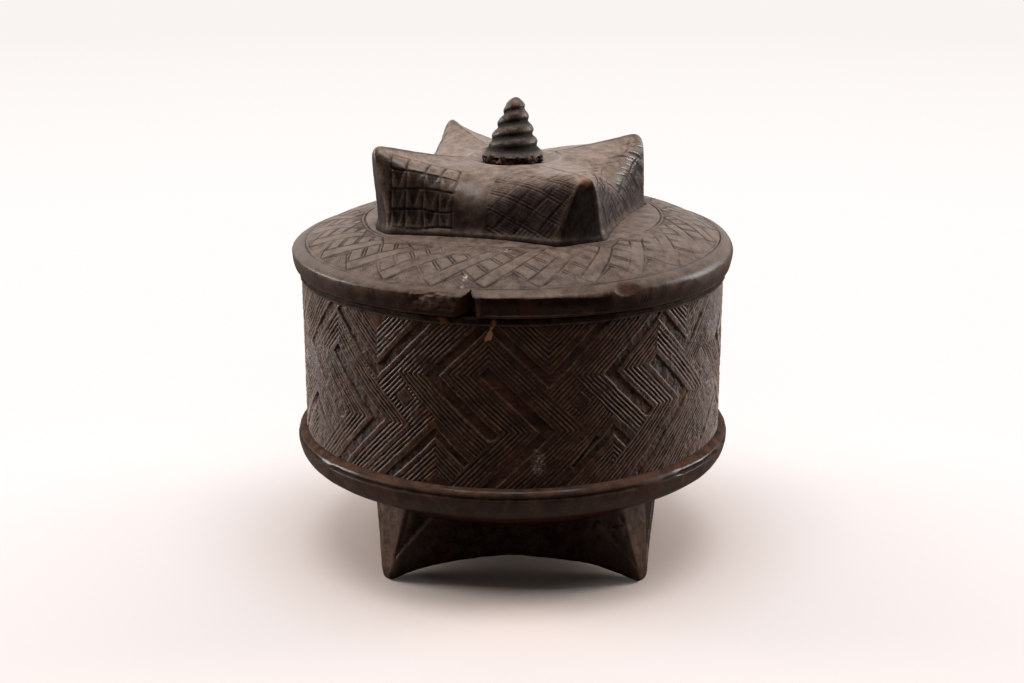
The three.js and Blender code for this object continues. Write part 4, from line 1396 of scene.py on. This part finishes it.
def makeFinial():
    # A cone with a level ring at its foot and one ridge that climbs from it to a rounded cap
    height = np.linspace(0, finial["height"], finial["rows"])[:, None]
    turns = evenTurns(finial["segments"])
    spiral = finial["height"] - finial["capHeight"]
    low = np.minimum(height, spiral)
    aboveRing = low - finial["footRing"]
    phase = (aboveRing + finial["tilt"] * np.sin(turns)) / finial["pitch"] - turns / fullTurn
    ridge = np.sin(math.pi * (phase + 0.06 * np.sin(fullTurn * phase))) ** 2
    ring = np.cos(np.minimum(quarterTurn, quarterTurn * low / finial["footRing"]))
    wave = ring + (ridge - ring) * limit(aboveRing / finial["footRing"])
    wave = 1 + (wave - 1) * np.minimum(1, 2 * (spiral - low) / finial["pitch"])
    taper = (finial["radius"] - finial["topRadius"]) / spiral
    radius = finial["radius"] - taper * low - finial["depth"] * (1 - wave)
    radius = radius + finial["footSpread"] * np.exp(-low / 3)
    capShare = np.sqrt(limit(1 - (height - spiral) / finial["capHeight"]))
    radius = np.where(height > spiral, finial["topRadius"] * capShare, radius)
    points = aroundAxis(radius, turns, height)
    pushOut(points, uneven(points, finial["handmade"]) * (radius > 2), np.maximum(radius, 3))
    *place, size = finial["chip"]
    chip = limit(1.3 - np.linalg.norm(points - place, axis=-1) / size)
    points[..., 0] += finial["lean"] * height / finial["height"]
    points[..., 2] += finialHigh[2] - finial["height"]
    tenonLevels = np.array([finialLow[2], points[0, 0, 2]])[:, None]
    tenon = aroundAxis(finial["tenonRadius"], turns, tenonLevels)
    makePoled("finial_spiral", np.concatenate([drawnIn(tenon[:1], 0, finialLow[2]), tenon, points]), {
        "ridge": limit(wave * 1.8 - 0.8), "cut": limit(1.15 - wave * 1.6), "bare": 0.3 * chip,
    }, blankRows=3, body="lid", nodes=["finial"], slot="blackened_wood", material=blackWood)


bed = {
    "segments": 280,
    "rows": 40,
    "innerRadius": 5.8,
    "squareness": 5,
    "lumps": ((1.5, 3.2, 81), (0.6, 1.5, 82)),       # noise layers: height, cell size and seed
    "spread": 1.3,
    "overlap": 1.6,              # how far the pitch climbs the finial's foot
}


def makeBed():
    # A ring with a rounded, lumpy section
    inner, outer = bed["innerRadius"], bedHigh[0] + bed["spread"]
    low, high = bedLow[2], bedHigh[2] + bed["overlap"]
    angle = evenTurns(bed["rows"])[:, None]
    power = bed["squareness"]
    rounding = (np.abs(np.cos(angle)) ** power + np.abs(np.sin(angle)) ** power) ** (-1 / power)
    radius = (inner + outer) / 2 + (outer - inner) / 2 * np.cos(angle) * rounding
    level = (low + high) / 2 + (high - low) / 2 * np.sin(angle) * rounding
    points = aroundAxis(radius, evenTurns(bed["segments"]), level)
    pushOut(points, uneven(points, bed["lumps"]) * smoothStep(radius - outer + 3, 3), outer)
    crumbs = limit(softNoise(points, 1.6, 83) * 1.6 - 0.2)
    faces = [gridFaces(bed["rows"], bed["segments"], wrapRows=True, wrapColumns=True)]
    makePiece("pitch_ring", points, faces, body="lid", nodes=["pitch_bed"], slot="pitch", material=pitchBlack,
              attributes={"ridge": crumbs, "fresh": 0.4 * crumbs})


makeFinial()
makeBed()
print("finial made")


# Camera, light and floor

view = {
    "position": (-0.373, -1014.432, 432.282),
    "pitchDown": 0.287,          # radians below level
    "focalPixels": 1622.309,
    "imageWidth": 1024,
    "sensor": 36,
}


def makeCamera():
    # The lens follows from the focal length and the width of the picture, both in pixels
    data = bpy.data.cameras.new("camera")
    data.sensor_width = view["sensor"]
    data.lens = view["focalPixels"] * view["sensor"] / view["imageWidth"]
    camera = addObject("camera", data)
    camera.location = [value * mm for value in view["position"]]
    camera.rotation_euler = (quarterTurn - view["pitchDown"], 0, 0)
    bpy.context.scene.camera = camera


lights = {
    # name: place and aim in metres, size across, size up, power in watts
    "topBox": ((0.0, -0.35, 1.7), (0, 0, 0.1), 1.3, 0.8, 19.5),
    "leftBox": ((-1.5, 0.3, 0.5), (0, 0, 0.15), 0.6, 0.8, 25),
    "rightBox": ((1.5, 0.4, 0.5), (0, 0, 0.15), 0.6, 0.8, 25),
}


def makeLights():
    # Soft boxes, each tipped from straight down and turned until it faces its aim
    for name, (place, aim, across, up, power) in lights.items():
        data = bpy.data.lights.new(name, "AREA")
        data.shape = "RECTANGLE"
        data.size, data.size_y = across, up
        data.energy = power
        lamp = addObject(name, data)
        lamp.location = place
        x, y, z = np.subtract(aim, place)
        lamp.rotation_euler = (math.atan2(math.hypot(x, y), -z), 0, math.atan2(-x, y))


surroundings = {
    "seen": (0.95, 0.91, 0.895),
    "front": 0.03,           # strength of the light from the camera's side of the room
    "back": 0.95,
    "backInGloss": 1.0,      # how bright the pale backdrop stands in reflections
    "turnOver": (-0.6, 0.7),     # where the front's strength ends and the back's is full, along Y
}


def makeWorld():
    # A dim room before the vessel and a bright one behind it, with a pale backdrop for the camera alone
    world = bpy.data.worlds.new("studio")
    tree = startTree(world)
    direction = addNode(tree, "ShaderNodeTexCoord").outputs["Generated"]
    parts = addNode(tree, "ShaderNodeSeparateXYZ", {0: direction})
    path = addNode(tree, "ShaderNodeLightPath").outputs
    shiny = doMath(tree, "MAXIMUM", path["Is Glossy Ray"], path["Is Transmission Ray"])
    back = doRange(tree, shiny, 0.0, 1.0, surroundings["back"], surroundings["backInGloss"])
    strength = doRange(tree, parts.outputs["Y"], *surroundings["turnOver"], surroundings["front"], back)
    light = addNode(tree, "ShaderNodeBackground", {"Color": (1, 1, 1), "Strength": strength}).outputs[0]
    seen = addNode(tree, "ShaderNodeBackground", {"Color": surroundings["seen"], "Strength": 1.0}).outputs[0]
    mix = addNode(tree, "ShaderNodeMixShader", {0: path["Is Camera Ray"], 1: light, 2: seen})
    addNode(tree, "ShaderNodeOutputWorld", {"Surface": mix.outputs[0]})
    bpy.context.scene.world = world


floorValues = {
    "halfSize": 9.0,
    "paintedBounceColour": (0.74, 0.59, 0.51),  # under the vessel: painted warm bounce light from its wood
    "colour": (0.7, 0.625, 0.605),
    "nearReach": (0.08, 0.2),
    "bounce": (0.19, 0.15, 0.13),       # what the floor throws back at the vessel
    "glow": (1.02, 0.985, 0.97),
    "farGlow": (0.947, 0.905, 0.888),
    "glowReach": (0.09, 0.48),
    "farReach": (1.2, 3.4),
    "frontGlow": 0.05,                    # the share of the glow that is left before the vessel
    "frontEdge": (-0.4, 0.05),            # where that share ends and the whole glow starts, along Y
    "frontReach": (0.4, 1.0),             # and with the distance
}


def makeFloor():
    # Pale paper near the vessel, which fades into an even backdrop with the distance from it
    half = floorValues["halfSize"]
    mesh = bpy.data.meshes.new("floor")
    corners = [(-half, -half, 0), (half, -half, 0), (half, half, 0), (-half, half, 0)]
    mesh.from_pydata(corners, [], [(0, 1, 2, 3)])
    material = bpy.data.materials.new("paleFloor")
    tree = startTree(material)
    seen = addNode(tree, "ShaderNodeLightPath").outputs["Is Camera Ray"]
    place = addNode(tree, "ShaderNodeTexCoord").outputs["Object"]
    away = addNode(tree, "ShaderNodeVectorMath", {0: place}, operation="LENGTH").outputs["Value"]
    nearShare, farShare, glowShare, beyondFront = [
        doRange(tree, away, *floorValues[key])
        for key in ("nearReach", "farReach", "glowReach", "frontReach")]
    # Painted bounce light: the paper turns warmer towards the vessel
    colour = mixColours(tree, nearShare, floorValues["paintedBounceColour"], floorValues["colour"])
    colour = mixColours(tree, seen, floorValues["bounce"], colour)
    paper = addNode(tree, "ShaderNodeBsdfDiffuse", {"Color": colour})
    light = mixColours(tree, farShare, floorValues["glow"], floorValues["farGlow"])
    glow = addNode(tree, "ShaderNodeEmission", {"Color": light, "Strength": 1.0})
    parts = addNode(tree, "ShaderNodeSeparateXYZ", {0: place})
    behind = doRange(tree, parts.outputs["Y"], *floorValues["frontEdge"], floorValues["frontGlow"], 1.0)
    share = times(tree, seen, times(tree, glowShare, doMath(tree, "MAXIMUM", behind, beyondFront)))
    mix = addNode(tree, "ShaderNodeMixShader", {0: share, 1: paper.outputs[0], 2: glow.outputs[0]})
    addNode(tree, "ShaderNodeOutputMaterial", {"Surface": mix.outputs[0]})
    mesh.materials.append(material)
    addObject("floor", mesh)


makeCamera()
makeLights()
makeWorld()
makeFloor()
bpy.context.scene.view_settings.view_transform = "Standard"
print("camera, lights and floor made")
